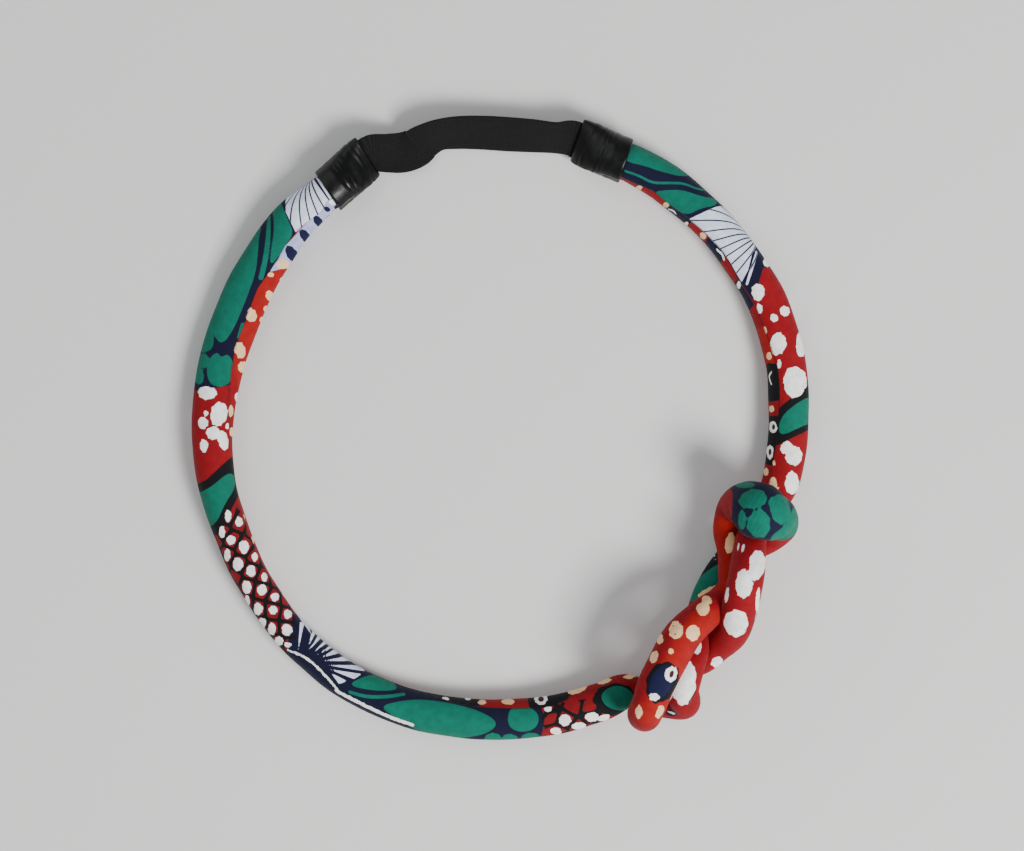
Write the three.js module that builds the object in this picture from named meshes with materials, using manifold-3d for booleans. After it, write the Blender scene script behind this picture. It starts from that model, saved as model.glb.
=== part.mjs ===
// Knot headband: a padded tube of printed cotton bent to a ring and tied in one overhand knot,
// with a leather cap on each end and a short elastic band between the caps. It lies flat, seen
// from above as it is worn seen from the crown: +X right, +Y towards the elastic, +Z up. Lengths
// are in millimetres, angles in degrees anticlockwise from +X.

import * as THREE from 'three';
import { mergeVertices } from 'three/addons/utils/BufferGeometryUtils.js';
import Module from 'manifold-3d';

const wasm = await Module();
wasm.setup();

// Driving dimensions
const ringRadius = 89.7;
const tubeDiameter = 12;
const knotAngle = -37;
const leftCapAngle = 126;
const rightCapAngle = 65;
const capLength = 16.5;
const capGrip = 6;
const capWall = 1.2;
const elasticWidth = 12.5;
const elasticThickness = 1;
const elasticLap = 4;
const clearance = 0.3;

// How finely the surfaces are divided
const tubeSides = 12;
const capSides = 20;
const capSteps = 10;
const elasticSides = 10;
const ringStep = 0.42;
const knotStep = 0.27;
const elasticStep = 0.16;

// The caps: which way each runs from the tube, how far it leans into the ring, how far its
// flattened end tips so that the outer edge stands high, and how far that end is pulled outwards
// as a share of the cap's length
const caps = {
  left: {
    name: 'left_end_cap', angle: leftCapAngle, turn: -1, radius: 1.014, lean: 2, tilt: 32, pull: 0.14,
  },
  right: {
    name: 'right_end_cap', angle: rightCapAngle, turn: 1, radius: 1.02, lean: 6, tilt: 34, pull: 0.08,
  },
};
const capDrop = 0.06;
const capShoulder = 0.1;
const capRoundness = { mouth: 2, end: 2.8 };

// The tube's free arms, from each cap to the knot: share of the arc, radius as a share of the
// ring's, breadth in plan as a share of the tube's diameter
const leftArm = [
  { share: 0.06, radius: 1.012, breadth: 1.14 },
  { share: 0.13, radius: 0.998, breadth: 1.2 },
  { share: 0.21, radius: 0.99, breadth: 1.22 },
  { share: 0.29, radius: 0.993, breadth: 1.12 },
  { share: 0.38, radius: 0.997, breadth: 0.99 },
  { share: 0.5, radius: 0.996, breadth: 0.9 },
  { share: 0.6, radius: 1.009, breadth: 0.88 },
  { share: 0.69, radius: 1.014, breadth: 0.94 },
  { share: 0.78, radius: 1.008, breadth: 1.01 },
  { share: 0.87, radius: 0.999, breadth: 1.04 },
  { share: 0.94, radius: 0.998, breadth: 1.02 },
];
const rightArm = [
  { share: 0.12, radius: 1.022, breadth: 1.03 },
  { share: 0.25, radius: 1.02, breadth: 1.0 },
  { share: 0.4, radius: 1.018, breadth: 1.0 },
  { share: 0.55, radius: 1.018, breadth: 1.03 },
  { share: 0.7, radius: 1.008, breadth: 1.04 },
  { share: 0.85, radius: 0.993, breadth: 1.03 },
];
const gripBreadth = 0.98;

// The knot, pass by pass from the left arm to the right arm. Every length is a share of the
// tube's diameter: along the ring and outwards from the knot's middle, height of the middle of the
// strand, and its girth, which is less where the knot squeezes it.
const knotPasses = [
  { name: 'left arm, curling up under the return', rows: [
    { along: -4.05, out: -1.2, height: 0.5, girth: 0.98 },
    { along: -3.42, out: -0.84, height: 0.48, girth: 0.9 },
    { along: -3.26, out: -0.25, height: 0.4, girth: 0.72 },
    { along: -3.09, out: 0.16, height: 0.46, girth: 0.74 },
    { along: -2.77, out: 0.48, height: 0.85, girth: 0.8 },
    { along: -2.48, out: 0.19, height: 1.32, girth: 0.84 },
    { along: -1.97, out: -0.04, height: 1.42, girth: 0.84 },
    { along: -1.4, out: -0.2, height: 1.05, girth: 0.78 },
  ] },
  { name: 'along the floor, inside', rows: [
    { along: -0.75, out: -0.48, height: 0.58, girth: 0.76 },
    { along: -0.1, out: -0.67, height: 0.42, girth: 0.78 },
    { along: 0.57, out: -0.75, height: 0.41, girth: 0.78 },
    { along: 1.27, out: -0.66, height: 0.4, girth: 0.75 },
    { along: 1.84, out: -0.3, height: 0.41, girth: 0.72 },
  ] },
  { name: 'up and over the right arm', rows: [
    { along: 2.38, out: -0.17, height: 0.8, girth: 0.88 },
    { along: 2.63, out: -0.36, height: 1.42, girth: 1.1 },
    { along: 2.56, out: -0.66, height: 1.86, girth: 1.32 },
    { along: 2.41, out: -1.04, height: 1.94, girth: 1.4 },
    { along: 2.25, out: -1.34, height: 1.58, girth: 1.22 },
    { along: 1.98, out: -1.49, height: 1.1, girth: 0.92 },
  ] },
  { name: 'down the inside and over the top', rows: [
    { along: 1.45, out: -1.32, height: 0.95, girth: 0.7 },
    { along: 1.04, out: -0.92, height: 1.06, girth: 0.68 },
    { along: 0.69, out: -0.62, height: 1.1, girth: 0.69 },
    { along: 0.36, out: -0.38, height: 1.12, girth: 0.69 },
    { along: -0.11, out: -0.38, height: 1.3, girth: 0.76 },
    { along: -0.65, out: -0.56, height: 1.66, girth: 0.86 },
    { along: -1.33, out: -0.7, height: 2, girth: 0.94 },
    { along: -2.08, out: -0.63, height: 2.14, girth: 0.96 },
    { along: -2.8, out: -0.5, height: 2.16, girth: 0.93 },
  ] },
  { name: 'doubling back underneath', rows: [
    { along: -3.2, out: -0.36, height: 2.14, girth: 0.9 },
    { along: -3.45, out: -0.28, height: 1.93, girth: 0.88 },
    { along: -3.56, out: -0.24, height: 1.6, girth: 0.86 },
    { along: -3.42, out: -0.24, height: 1.28, girth: 0.8 },
    { along: -3.1, out: -0.26, height: 1.08, girth: 0.7 },
    { along: -2.65, out: -0.26, height: 0.86, girth: 0.66 },
    { along: -2.2, out: -0.15, height: 0.55, girth: 0.66 },
  ] },
  { name: 'out over the top and under the loop to the right arm', rows: [
    { along: -1.92, out: 0, height: 0.46, girth: 0.74 },
    { along: -1.58, out: 0.18, height: 0.5, girth: 0.82 },
    { along: -1.12, out: 0.26, height: 0.76, girth: 0.88 },
    { along: -0.6, out: 0.3, height: 1.25, girth: 0.9 },
    { along: 0.06, out: 0.04, height: 1.84, girth: 0.92 },
    { along: 0.7, out: -0.28, height: 2.04, girth: 0.92 },
    { along: 1.25, out: -0.56, height: 1.68, girth: 0.86 },
    { along: 1.72, out: -0.74, height: 1.25, girth: 0.78 },
    { along: 2.42, out: -0.8, height: 0.88, girth: 0.7 },
    { along: 2.94, out: -0.85, height: 0.66, girth: 0.88 },
    { along: 3.43, out: -0.98, height: 0.53, girth: 0.98 },
  ] },
];

// The elastic's free stretch, left cap to right cap: share of the way, radius as a share of the
// ring's, tilt of its outer edge upwards, height of its middle as a share of its width
const elasticRows = [
  { share: 0.09, radius: 1.032, tilt: 24, height: 0.42 },
  { share: 0.16, radius: 1.017, tilt: 12, height: 0.32 },
  { share: 0.22, radius: 1.018, tilt: 18, height: 0.3 },
  { share: 0.27, radius: 1.03, tilt: 36, height: 0.38 },
  { share: 0.34, radius: 1.04, tilt: 47, height: 0.43 },
  { share: 0.43, radius: 1.037, tilt: 44, height: 0.42 },
  { share: 0.55, radius: 1.028, tilt: 41, height: 0.4 },
  { share: 0.67, radius: 1.021, tilt: 40, height: 0.4 },
  { share: 0.79, radius: 1.021, tilt: 43, height: 0.42 },
  { share: 0.91, radius: 1.026, tilt: 47, height: 0.45 },
];

const up = new THREE.Vector3(0, 0, 1);
const rad = THREE.MathUtils.degToRad;
const flatShare = Math.cos(Math.PI / tubeSides);
const slopeGap = 1.5;
const settled = 0.2;

function polar(radius, degrees, height) {
  return new THREE.Vector3(radius * Math.cos(rad(degrees)), radius * Math.sin(rad(degrees)), height);
}

// The tube's section keeps its girth as it is pressed broader in plan
function tubeHeight(breadth) {
  return breadth > 1 ? 1 / breadth : breadth;
}

// Height of the middle of a tube that lies on the floor on one flat of its section
function restHeight(halfHeight) {
  return halfHeight * flatShare;
}

// A cap's axis: its mouth, where the tube goes in, its direction, and its far end
function capAxis(cap) {
  const height = tubeDiameter * gripBreadth / 2 + clearance + capWall;
  const mouth = polar(ringRadius * cap.radius, cap.angle, height);
  const heading = cap.angle + cap.turn * (90 + cap.lean);
  const along = polar(1, heading, 0);
  const bend = polar(capLength * cap.pull, heading - cap.turn * 90, -capLength * capDrop);
  const end = mouth.clone().addScaledVector(along, capLength).add(bend);
  return { mouth, along, bend, end };
}

// A closed surface through rings of points with as many points each. An open run is capped with
// a flat at both ends, a loop comes back to its first ring.
function loft(rings, loop = false) {
  const count = rings[0].length;
  const positions = rings.flat().flatMap((p) => [p.x, p.y, p.z]);
  const faces = [];
  const last = loop ? rings.length : rings.length - 1;
  for (let i = 0; i < last; i += 1) {
    const here = i * count;
    const next = ((i + 1) % rings.length) * count;
    for (let j = 0; j < count; j += 1) {
      const k = (j + 1) % count;
      faces.push(here + j, here + k, next + k);
      faces.push(here + j, next + k, next + j);
    }
  }
  if (!loop) {
    const base = (rings.length - 1) * count;
    for (let j = 1; j < count - 1; j += 1) {
      faces.push(0, j + 1, j);
      faces.push(base, base + j, base + j + 1);
    }
  }
  const geometry = new THREE.BufferGeometry();
  geometry.setAttribute('position', new THREE.Float32BufferAttribute(positions, 3));
  geometry.setIndex(faces);
  return geometry;
}

function toSolid(geometry) {
  const merged = mergeVertices(geometry, 1e-5);
  return new wasm.Manifold(new wasm.Mesh({
    numProp: 3,
    vertProperties: new Float32Array(merged.attributes.position.array),
    triVerts: new Uint32Array(merged.index.array),
  }));
}

function toGeometry(solid) {
  const mesh = solid.getMesh();
  const geometry = new THREE.BufferGeometry();
  geometry.setAttribute('position', new THREE.Float32BufferAttribute(mesh.vertProperties, 3));
  geometry.setIndex(new THREE.Uint32BufferAttribute(mesh.triVerts, 1));
  return geometry;
}

// Points round a section whose corners fill out as its roundness goes up from 2, an ellipse.
// Half a step of turn puts a flat at the bottom.
function sectionRing(station, sides, roundness = 2) {
  const ring = [];
  for (let j = 0; j < sides; j += 1) {
    const angle = (j + 0.5) / sides * 2 * Math.PI - Math.PI / 2;
    const power = 2 / roundness;
    const x = Math.sign(Math.cos(angle)) * Math.abs(Math.cos(angle)) ** power;
    const y = Math.sign(Math.sin(angle)) * Math.abs(Math.sin(angle)) ** power;
    ring.push(station.centre.clone()
      .addScaledVector(station.side, x * station.halfBreadth)
      .addScaledVector(station.lift, y * station.halfHeight));
  }
  return ring;
}

// Side and lift of a section that stands upright on its route
function uprightFrame(tangent) {
  const side = new THREE.Vector3().crossVectors(up, tangent).normalize();
  return { side, lift: new THREE.Vector3().crossVectors(tangent, side).normalize() };
}

// Stations along a smooth curve through the rows, each row a station itself
function stationsThrough(rows, stepOf) {
  const curve = new THREE.CatmullRomCurve3(rows.map((row) => row.point), false, 'centripetal');
  const spans = rows.length - 1;
  const stations = [];
  rows.slice(0, -1).forEach((row, i) => {
    const next = rows[i + 1];
    const steps = Math.max(1, Math.round(row.point.distanceTo(next.point) / stepOf(row)));
    for (let s = 0; s < steps; s += 1) {
      const part = s / steps;
      const ease = THREE.MathUtils.smoothstep(part, 0, 1);
      const station = {
        row: s === 0 ? row : null,
        inKnot: Boolean(row.inKnot && next.inKnot),
        centre: curve.getPoint((i + part) / spans),
        tangent: curve.getTangent((i + part) / spans),
        halfBreadth: THREE.MathUtils.lerp(row.halfBreadth, next.halfBreadth, ease),
        halfHeight: THREE.MathUtils.lerp(row.halfHeight, next.halfHeight, ease),
        tilt: THREE.MathUtils.lerp(row.tilt ?? 0, next.tilt ?? 0, ease),
      };
      if (row.rests && next.rests) {
        station.centre.z = restHeight(station.halfHeight);
        station.tangent.setZ(0).normalize();
      }
      stations.push(station);
    }
  });
  const end = rows[spans];
  stations.push({
    row: end,
    inKnot: false,
    centre: end.point.clone(),
    tangent: curve.getTangent(1),
    halfBreadth: end.halfBreadth,
    halfHeight: end.halfHeight,
    tilt: end.tilt ?? 0,
  });
  return stations;
}

// Sections stand upright along the arms. Through the knot they turn only with the strand, and the
// turn that is left over at its end is shared out evenly.
function frameTube(stations) {
  const first = stations.findIndex((station) => station.inKnot);
  const last = stations.findLastIndex((station) => station.inKnot) + 1;
  stations.forEach((station) => Object.assign(station, uprightFrame(station.tangent)));
  const target = stations[last].side.clone();
  const turn = new THREE.Quaternion();
  for (let i = first + 1; i <= last; i += 1) {
    turn.setFromUnitVectors(stations[i - 1].tangent, stations[i].tangent);
    stations[i].side = stations[i - 1].side.clone().applyQuaternion(turn);
  }
  const { side, tangent } = stations[last];
  const across = new THREE.Vector3().crossVectors(tangent, side);
  const leftOver = Math.atan2(target.dot(across), target.dot(side));
  for (let i = first; i <= last; i += 1) {
    const share = (i - first) / (last - first);
    stations[i].side.applyAxisAngle(stations[i].tangent, leftOver * share);
    stations[i].lift = new THREE.Vector3().crossVectors(stations[i].tangent, stations[i].side);
  }
}

// A row of an arm. Next to its cap the tube is raised by the thickness of the leather under it,
// and from there it sinks until it rests on the floor.
function armRow(row, fromAngle, toAngle) {
  const raised = (clearance + capWall) * (1 - THREE.MathUtils.smoothstep(row.share, 0, settled));
  const halfHeight = tubeDiameter * tubeHeight(row.breadth) / 2;
  return {
    point: polar(ringRadius * row.radius, THREE.MathUtils.lerp(fromAngle, toAngle, row.share),
      restHeight(halfHeight) + raised),
    halfBreadth: tubeDiameter * row.breadth / 2,
    halfHeight,
    rests: row.share >= settled,
  };
}

// The tube's end inside a cap, straight on the cap's axis, listed from its end outwards
function gripRows(cap) {
  const { mouth, along } = capAxis(cap);
  return [capGrip, capGrip / 2, 0, -slopeGap].map((at) => ({
    point: mouth.clone().addScaledVector(along, at),
    halfBreadth: tubeDiameter * gripBreadth / 2,
    halfHeight: tubeDiameter * gripBreadth / 2,
  }));
}

function knotRows() {
  const middle = polar(ringRadius, knotAngle, 0);
  const outwards = polar(1, knotAngle, 0);
  const onwards = polar(1, knotAngle + 90, 0);
  return knotPasses.flatMap((pass) => pass.rows.map((row, i) => ({
    point: middle.clone()
      .addScaledVector(onwards, tubeDiameter * row.along)
      .addScaledVector(outwards, tubeDiameter * row.out)
      .addScaledVector(up, tubeDiameter * row.height),
    halfBreadth: tubeDiameter * row.girth / 2,
    halfHeight: tubeDiameter * row.girth / 2,
    inKnot: true,
    startsPass: i === 0,
  })));
}

function angleOf(point) {
  return THREE.MathUtils.radToDeg(Math.atan2(point.y, point.x));
}

// One continuous tube. Each pass of the knot is lofted by itself, and the passes are joined where
// they meet end to end and where the knot presses them together.
function paddedTube() {
  const knot = knotRows();
  const knotStart = angleOf(knot[0].point) + 360;
  const knotEnd = angleOf(knot[knot.length - 1].point);
  const left = leftArm.map((row) => armRow(row, leftCapAngle, knotStart));
  const right = rightArm.map((row) => armRow(row, rightCapAngle, knotEnd));
  const rows = [
    ...gripRows(caps.left), ...left, ...knot, ...right.reverse(), ...gripRows(caps.right).reverse(),
  ];
  const stepOf = (row) => tubeDiameter * (row.inKnot ? knotStep : ringStep);
  const stations = stationsThrough(rows, stepOf);
  frameTube(stations);
  const rings = stations.map((station) => sectionRing(station, tubeSides));
  const cuts = stations.flatMap((station, i) => (station.row?.startsPass ? [i] : []));
  const ends = [0, ...cuts.slice(1), rings.length - 1];
  const passes = ends.slice(1).map((end, i) => toSolid(loft(rings.slice(ends[i], end + 1))));
  return toGeometry(passes.reduce((whole, pass) => whole.add(pass)));
}

// A sleeve: round where the tube goes in, flat where the elastic comes out. The lining surface
// keeps the clearance to both, and the outside stands one wall further out.
function endCap(cap) {
  const { mouth, along, bend } = capAxis(cap);
  const { side, lift } = uprightFrame(along);
  const round = tubeDiameter * gripBreadth / 2 + clearance;
  const slot = { breadth: elasticWidth / 2 + clearance, height: elasticThickness / 2 + clearance };
  const gripShare = capGrip / capLength;
  const lapShare = 1 - elasticLap / capLength;
  const tiltUp = -cap.turn * rad(cap.tilt);
  const outer = [];
  const inner = [];
  for (let i = 0; i <= capSteps; i += 1) {
    const share = i / capSteps;
    const flat = THREE.MathUtils.smoothstep(share, gripShare * (1 + capShoulder), lapShare);
    const fall = THREE.MathUtils.smoothstep(share, gripShare, lapShare);
    const turned = new THREE.Quaternion().setFromAxisAngle(along, tiltUp * flat);
    const station = {
      centre: mouth.clone().addScaledVector(along, capLength * share)
        .addScaledVector(bend, fall),
      side: side.clone().applyQuaternion(turned),
      lift: lift.clone().applyQuaternion(turned),
      halfBreadth: THREE.MathUtils.lerp(round, slot.breadth, flat),
      halfHeight: THREE.MathUtils.lerp(round, slot.height, flat),
    };
    const roundness = THREE.MathUtils.lerp(capRoundness.mouth, capRoundness.end, flat);
    inner.push(sectionRing(station, capSides, roundness));
    station.halfBreadth += capWall;
    station.halfHeight += capWall;
    outer.push(sectionRing(station, capSides, roundness));
  }
  return loft([...outer, ...inner.reverse()], true);
}

// The elastic's end in a cap, straight on the cap's axis and tipped with it
function lapRows(cap) {
  const { along, end } = capAxis(cap);
  return [-elasticLap, -elasticLap / 2, 0, slopeGap].map((at) => ({
    point: end.clone().addScaledVector(along, at),
    tilt: cap.tilt,
  }));
}

function elasticBand() {
  const { end: leftEnd } = capAxis(caps.left);
  const { end: rightEnd } = capAxis(caps.right);
  const free = elasticRows.map((row) => ({
    point: polar(ringRadius * row.radius,
      THREE.MathUtils.lerp(angleOf(leftEnd), angleOf(rightEnd), row.share),
      elasticWidth * row.height),
    tilt: row.tilt,
  }));
  const rows = [...lapRows(caps.left), ...free, ...lapRows(caps.right).reverse()];
  const size = { halfBreadth: elasticWidth / 2, halfHeight: elasticThickness / 2 };
  const stations = stationsThrough(rows.map((row) => ({ ...row, ...size })),
    () => elasticWidth * elasticStep);
  const rings = stations.map((station) => {
    const { side, lift } = uprightFrame(station.tangent);
    const turned = new THREE.Quaternion().setFromAxisAngle(station.tangent, rad(station.tilt));
    side.applyQuaternion(turned);
    lift.applyQuaternion(turned);
    return sectionRing({ ...station, side, lift }, elasticSides, capRoundness.end);
  });
  return loft(rings);
}

function makePiece(name, geometry, color, roughness) {
  geometry.computeVertexNormals();
  const material = new THREE.MeshStandardMaterial({ color, roughness, metalness: 0 });
  const mesh = new THREE.Mesh(geometry, material);
  mesh.name = name;
  return mesh;
}

const group = new THREE.Group();
group.add(makePiece('padded_tube', paddedTube(), 0xa8141f, 0.8));
Object.values(caps).forEach((cap) => {
  group.add(makePiece(cap.name, endCap(cap), 0x1a1a1a, 0.5));
});
group.add(makePiece('elastic_band', elasticBand(), 0x222222, 0.85));

// The origin is under the middle of the whole headband, on the surface that it lies on
const box = new THREE.Box3().setFromObject(group);
const middle = box.getCenter(new THREE.Vector3());
group.position.set(-middle.x, -middle.y, -box.min.z);
group.updateMatrixWorld(true);

export default group;
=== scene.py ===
"""Looks of the knot headband: a padded tube of wax-print cotton tied in one overhand knot, leather
end caps and a ribbed elastic band, lying on a pale floor and seen from straight above.

Lengths in the tables are millimetres in the part's frame, angles are degrees anticlockwise from
+X round the ring's centre, and meshes are made in metres.
"""

import logging
import math
from dataclasses import dataclass, field
from enum import Enum
from typing import Callable, NamedTuple, Sequence

import bpy
import numpy as np
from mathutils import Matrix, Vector


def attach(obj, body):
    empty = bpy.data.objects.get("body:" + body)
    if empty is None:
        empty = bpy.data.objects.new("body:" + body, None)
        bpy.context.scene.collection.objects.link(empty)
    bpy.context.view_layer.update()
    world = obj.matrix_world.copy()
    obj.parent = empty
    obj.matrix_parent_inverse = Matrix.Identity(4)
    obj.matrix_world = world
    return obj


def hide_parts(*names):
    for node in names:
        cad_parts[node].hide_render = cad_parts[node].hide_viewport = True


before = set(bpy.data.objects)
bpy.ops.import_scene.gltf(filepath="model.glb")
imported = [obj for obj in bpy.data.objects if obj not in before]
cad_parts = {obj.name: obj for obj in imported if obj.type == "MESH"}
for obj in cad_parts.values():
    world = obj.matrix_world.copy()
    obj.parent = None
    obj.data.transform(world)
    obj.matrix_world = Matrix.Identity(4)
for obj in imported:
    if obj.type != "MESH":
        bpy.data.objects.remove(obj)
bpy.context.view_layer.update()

log = logging.getLogger("headband")

Number = float | np.ndarray
Pixels = tuple[tuple[float, float], ...]

METRES = 0.001
ROOT = "root"
SEED = 7
CLOTH_MAP = "cloth"
TINY = 1e-9
LEAST_GAP = 1e-6

# Driving dimensions, the same as the part's, in millimetres
RING_RADIUS = 89.7
TUBE_DIAMETER = 12.0
KNOT_ANGLE = -37.0
CAP_LENGTH = 16.5
CAP_GRIP = 6.0
CAP_WALL = 1.2
ELASTIC_WIDTH = 12.5
ELASTIC_THICKNESS = 1.0
ELASTIC_LAP = 4.0
CLEARANCE = 0.3
GRIP_BREADTH = 0.98
SETTLED = 0.2
SLOPE_GAP = 1.5
RING_CENTRE = np.array([0.214, -0.574, 0.0])
FULL_TURN = 360.0
UP = np.array([0.0, 0.0, 1.0])


class ArmRow(NamedTuple):
    """A section of a free arm: share of its arc, radius as a share of the ring's, breadth in plan
    as a share of the tube's diameter."""

    share: float
    radius: float
    breadth: float


class KnotRow(NamedTuple):
    """A section of the knot, in tube diameters: along the ring and outwards from the knot's
    middle, height of the strand's middle, and its girth."""

    along: float
    out: float
    height: float
    girth: float


class ElasticRow(NamedTuple):
    """A section of the elastic: share of the way, radius as a share of the ring's, tilt of its
    outer edge upwards, height of its middle as a share of its width."""

    share: float
    radius: float
    tilt: float
    height: float


class CapForm(NamedTuple):
    """How a cap lies: its mouth's angle and radius share, the way that it runs from the tube, its
    lean into the ring, the tilt of its flattened end, and how far that end is pulled outwards."""

    node: str
    angle: float
    turn: int
    radius: float
    lean: float
    tilt: float
    pull: float


LEFT_CAP = CapForm("left_end_cap", 126.0, -1, 1.014, 2.0, 32.0, 0.14)
RIGHT_CAP = CapForm("right_end_cap", 65.0, 1, 1.02, 6.0, 34.0, 0.08)
CAP_DROP = 0.06
CAP_SHOULDER = 0.1
MOUTH_ROUNDNESS = 2.0
END_ROUNDNESS = 2.8

LEFT_ARM = (
    ArmRow(0.06, 1.012, 1.14),
    ArmRow(0.13, 0.998, 1.2),
    ArmRow(0.21, 0.99, 1.22),
    ArmRow(0.29, 0.993, 1.12),
    ArmRow(0.38, 0.997, 0.99),
    ArmRow(0.5, 0.996, 0.9),
    ArmRow(0.6, 1.009, 0.88),
    ArmRow(0.69, 1.014, 0.94),
    ArmRow(0.78, 1.008, 1.01),
    ArmRow(0.87, 0.999, 1.04),
    ArmRow(0.94, 0.998, 1.02),
)
RIGHT_ARM = (
    ArmRow(0.12, 1.022, 1.03),
    ArmRow(0.25, 1.02, 1.0),
    ArmRow(0.4, 1.018, 1.0),
    ArmRow(0.55, 1.018, 1.03),
    ArmRow(0.7, 1.008, 1.04),
    ArmRow(0.85, 0.993, 1.03),
)

# The knot from the left arm to the right arm, a row of the table for each section. The loop's rows
# are drawn in by a few millimetres from the part's own, after a closer look at the photo.
KNOT_PASSES = {
    "curl": (
        KnotRow(-4.05, -1.2, 0.5, 0.98),
        KnotRow(-3.42, -0.84, 0.48, 0.9),
        KnotRow(-3.26, -0.25, 0.4, 0.72),
        KnotRow(-3.09, 0.16, 0.46, 0.74),
        KnotRow(-2.77, 0.48, 0.85, 0.8),
        KnotRow(-2.48, 0.19, 1.32, 0.84),
        KnotRow(-1.97, -0.04, 1.42, 0.84),
        KnotRow(-1.4, -0.2, 1.05, 0.78),
    ),
    "floor": (
        KnotRow(-0.75, -0.48, 0.58, 0.76),
        KnotRow(-0.1, -0.67, 0.42, 0.78),
        KnotRow(0.57, -0.75, 0.41, 0.78),
        KnotRow(1.27, -0.66, 0.4, 0.75),
        KnotRow(1.84, -0.3, 0.41, 0.72),
    ),
    "loop": (
        KnotRow(2.33, -0.25, 0.8, 0.86),
        KnotRow(2.46, -0.53, 1.42, 1.02),
        KnotRow(2.36, -0.76, 1.84, 1.28),
        KnotRow(2.31, -1.02, 1.92, 1.44),
        KnotRow(2.25, -1.34, 1.58, 1.22),
        KnotRow(1.98, -1.49, 1.1, 0.92),
    ),
    "crest": (
        KnotRow(1.45, -1.32, 0.95, 0.7),
        KnotRow(1.04, -0.92, 1.06, 0.68),
        KnotRow(0.69, -0.62, 1.1, 0.69),
        KnotRow(0.36, -0.38, 1.12, 0.69),
        KnotRow(-0.11, -0.38, 1.3, 0.76),
        KnotRow(-0.65, -0.56, 1.66, 0.86),
        KnotRow(-1.33, -0.7, 2.0, 0.94),
        KnotRow(-2.08, -0.63, 2.14, 0.96),
        KnotRow(-2.8, -0.5, 2.16, 0.93),
    ),
    "return": (
        KnotRow(-3.2, -0.36, 2.14, 0.9),
        KnotRow(-3.45, -0.28, 1.93, 0.88),
        KnotRow(-3.56, -0.24, 1.6, 0.86),
        KnotRow(-3.42, -0.24, 1.28, 0.8),
        KnotRow(-3.1, -0.26, 1.08, 0.7),
        KnotRow(-2.65, -0.26, 0.86, 0.66),
        KnotRow(-2.2, -0.15, 0.55, 0.66),
    ),
    "outlet": (
        KnotRow(-1.92, 0.0, 0.46, 0.74),
        KnotRow(-1.58, 0.18, 0.5, 0.82),
        KnotRow(-1.12, 0.26, 0.76, 0.88),
        KnotRow(-0.6, 0.3, 1.25, 0.9),
        KnotRow(0.06, 0.04, 1.84, 0.92),
        KnotRow(0.7, -0.28, 2.04, 0.92),
        KnotRow(1.25, -0.56, 1.68, 0.86),
        KnotRow(1.72, -0.74, 1.25, 0.78),
        KnotRow(2.42, -0.8, 0.88, 0.7),
        KnotRow(2.94, -0.85, 0.66, 0.88),
        KnotRow(3.43, -0.98, 0.53, 0.98),
    ),
}

ELASTIC_ROWS = (
    ElasticRow(0.09, 1.032, 24.0, 0.42),
    ElasticRow(0.16, 1.017, 12.0, 0.32),
    ElasticRow(0.22, 1.018, 18.0, 0.3),
    ElasticRow(0.27, 1.03, 36.0, 0.38),
    ElasticRow(0.34, 1.04, 47.0, 0.43),
    ElasticRow(0.43, 1.037, 44.0, 0.42),
    ElasticRow(0.55, 1.028, 41.0, 0.4),
    ElasticRow(0.67, 1.021, 40.0, 0.4),
    ElasticRow(0.79, 1.021, 43.0, 0.42),
    ElasticRow(0.91, 1.026, 47.0, 0.45),
)


# Colours of the wax print, as sRGB hex, with a lighter red that is painted light and a layer of dark specks
# that also holds a painted shadow line


class Ink(Enum):
    """A layer of the print, from the ground up, with its colour and how far its edge wavers in
    millimetres. The lowest, a lighter red, is painted light on the red cloth, not print; the specks'
    layer also holds a painted shadow line."""

    # Painted light: a lighter, more orange red laid over the crimson where light falls on the cloth, with a
    # soft edge
    LIT_RED = ("lit_red", "#9E130F", 0.25)
    WINE = ("wine", "#7E0C14", 0.1)
    NAVY = ("navy", "#0A0D2C", 0.1)
    BLACK = ("black", "#07080D", 0.08)
    GREEN = ("green", "#006A56", 0.08)
    LAVENDER = ("lavender", "#B4B6DE", 0.1)
    PALE = ("pale", "#E4E9FC", 0.08)
    INDIGO = ("indigo", "#0E1238", 0.1)
    CREAM = ("cream", "#F8CC98", 0.45)
    WHITE = ("white", "#FFFEFA", 0.45)
    # Dark specks of the print; this layer also draws a painted shadow line on the curl
    SPECK_AND_SHADOW = ("speck_and_shadow", "#3A1A20", 0.05)

    def __init__(self, label: str, colour: str, waver: float) -> None:
        """Keeps the layer's label, its sRGB colour and its waver."""
        self.label = label
        self.colour = colour
        self.waver = waver


# The red that the cloth is dyed with under every layer
CRIMSON = "#8B0512"


class Spot(NamedTuple):
    """A round or oval mark: its middle, breadth and height in photo pixels, and its turn."""

    ink: Ink
    x: float
    y: float
    wide: float
    high: float
    turn: float = 0.0


def spots(ink: Ink, *charted: tuple[float, ...]) -> tuple[Spot, ...]:
    """Spots of one ink, each from its pixel, its breadth and height and its turn."""
    return tuple(Spot(ink, *spot) for spot in charted)


class Patch(NamedTuple):
    """A mark with a drawn outline, in photo pixels, rounded at its corners unless it is sharp."""

    ink: Ink
    outline: Pixels
    sharp: bool = False


class Stroke(NamedTuple):
    """A brush line through photo pixels, with its breadth in pixels."""

    ink: Ink
    line: Pixels
    wide: float


class Fan(NamedTuple):
    """Rays that spread from a point, with one of them through each of two pixels and an even
    number of steps between."""

    apex: tuple[float, float]
    first: tuple[float, float]
    last: tuple[float, float]
    steps: int


Mark = Spot | Patch | Stroke


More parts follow.
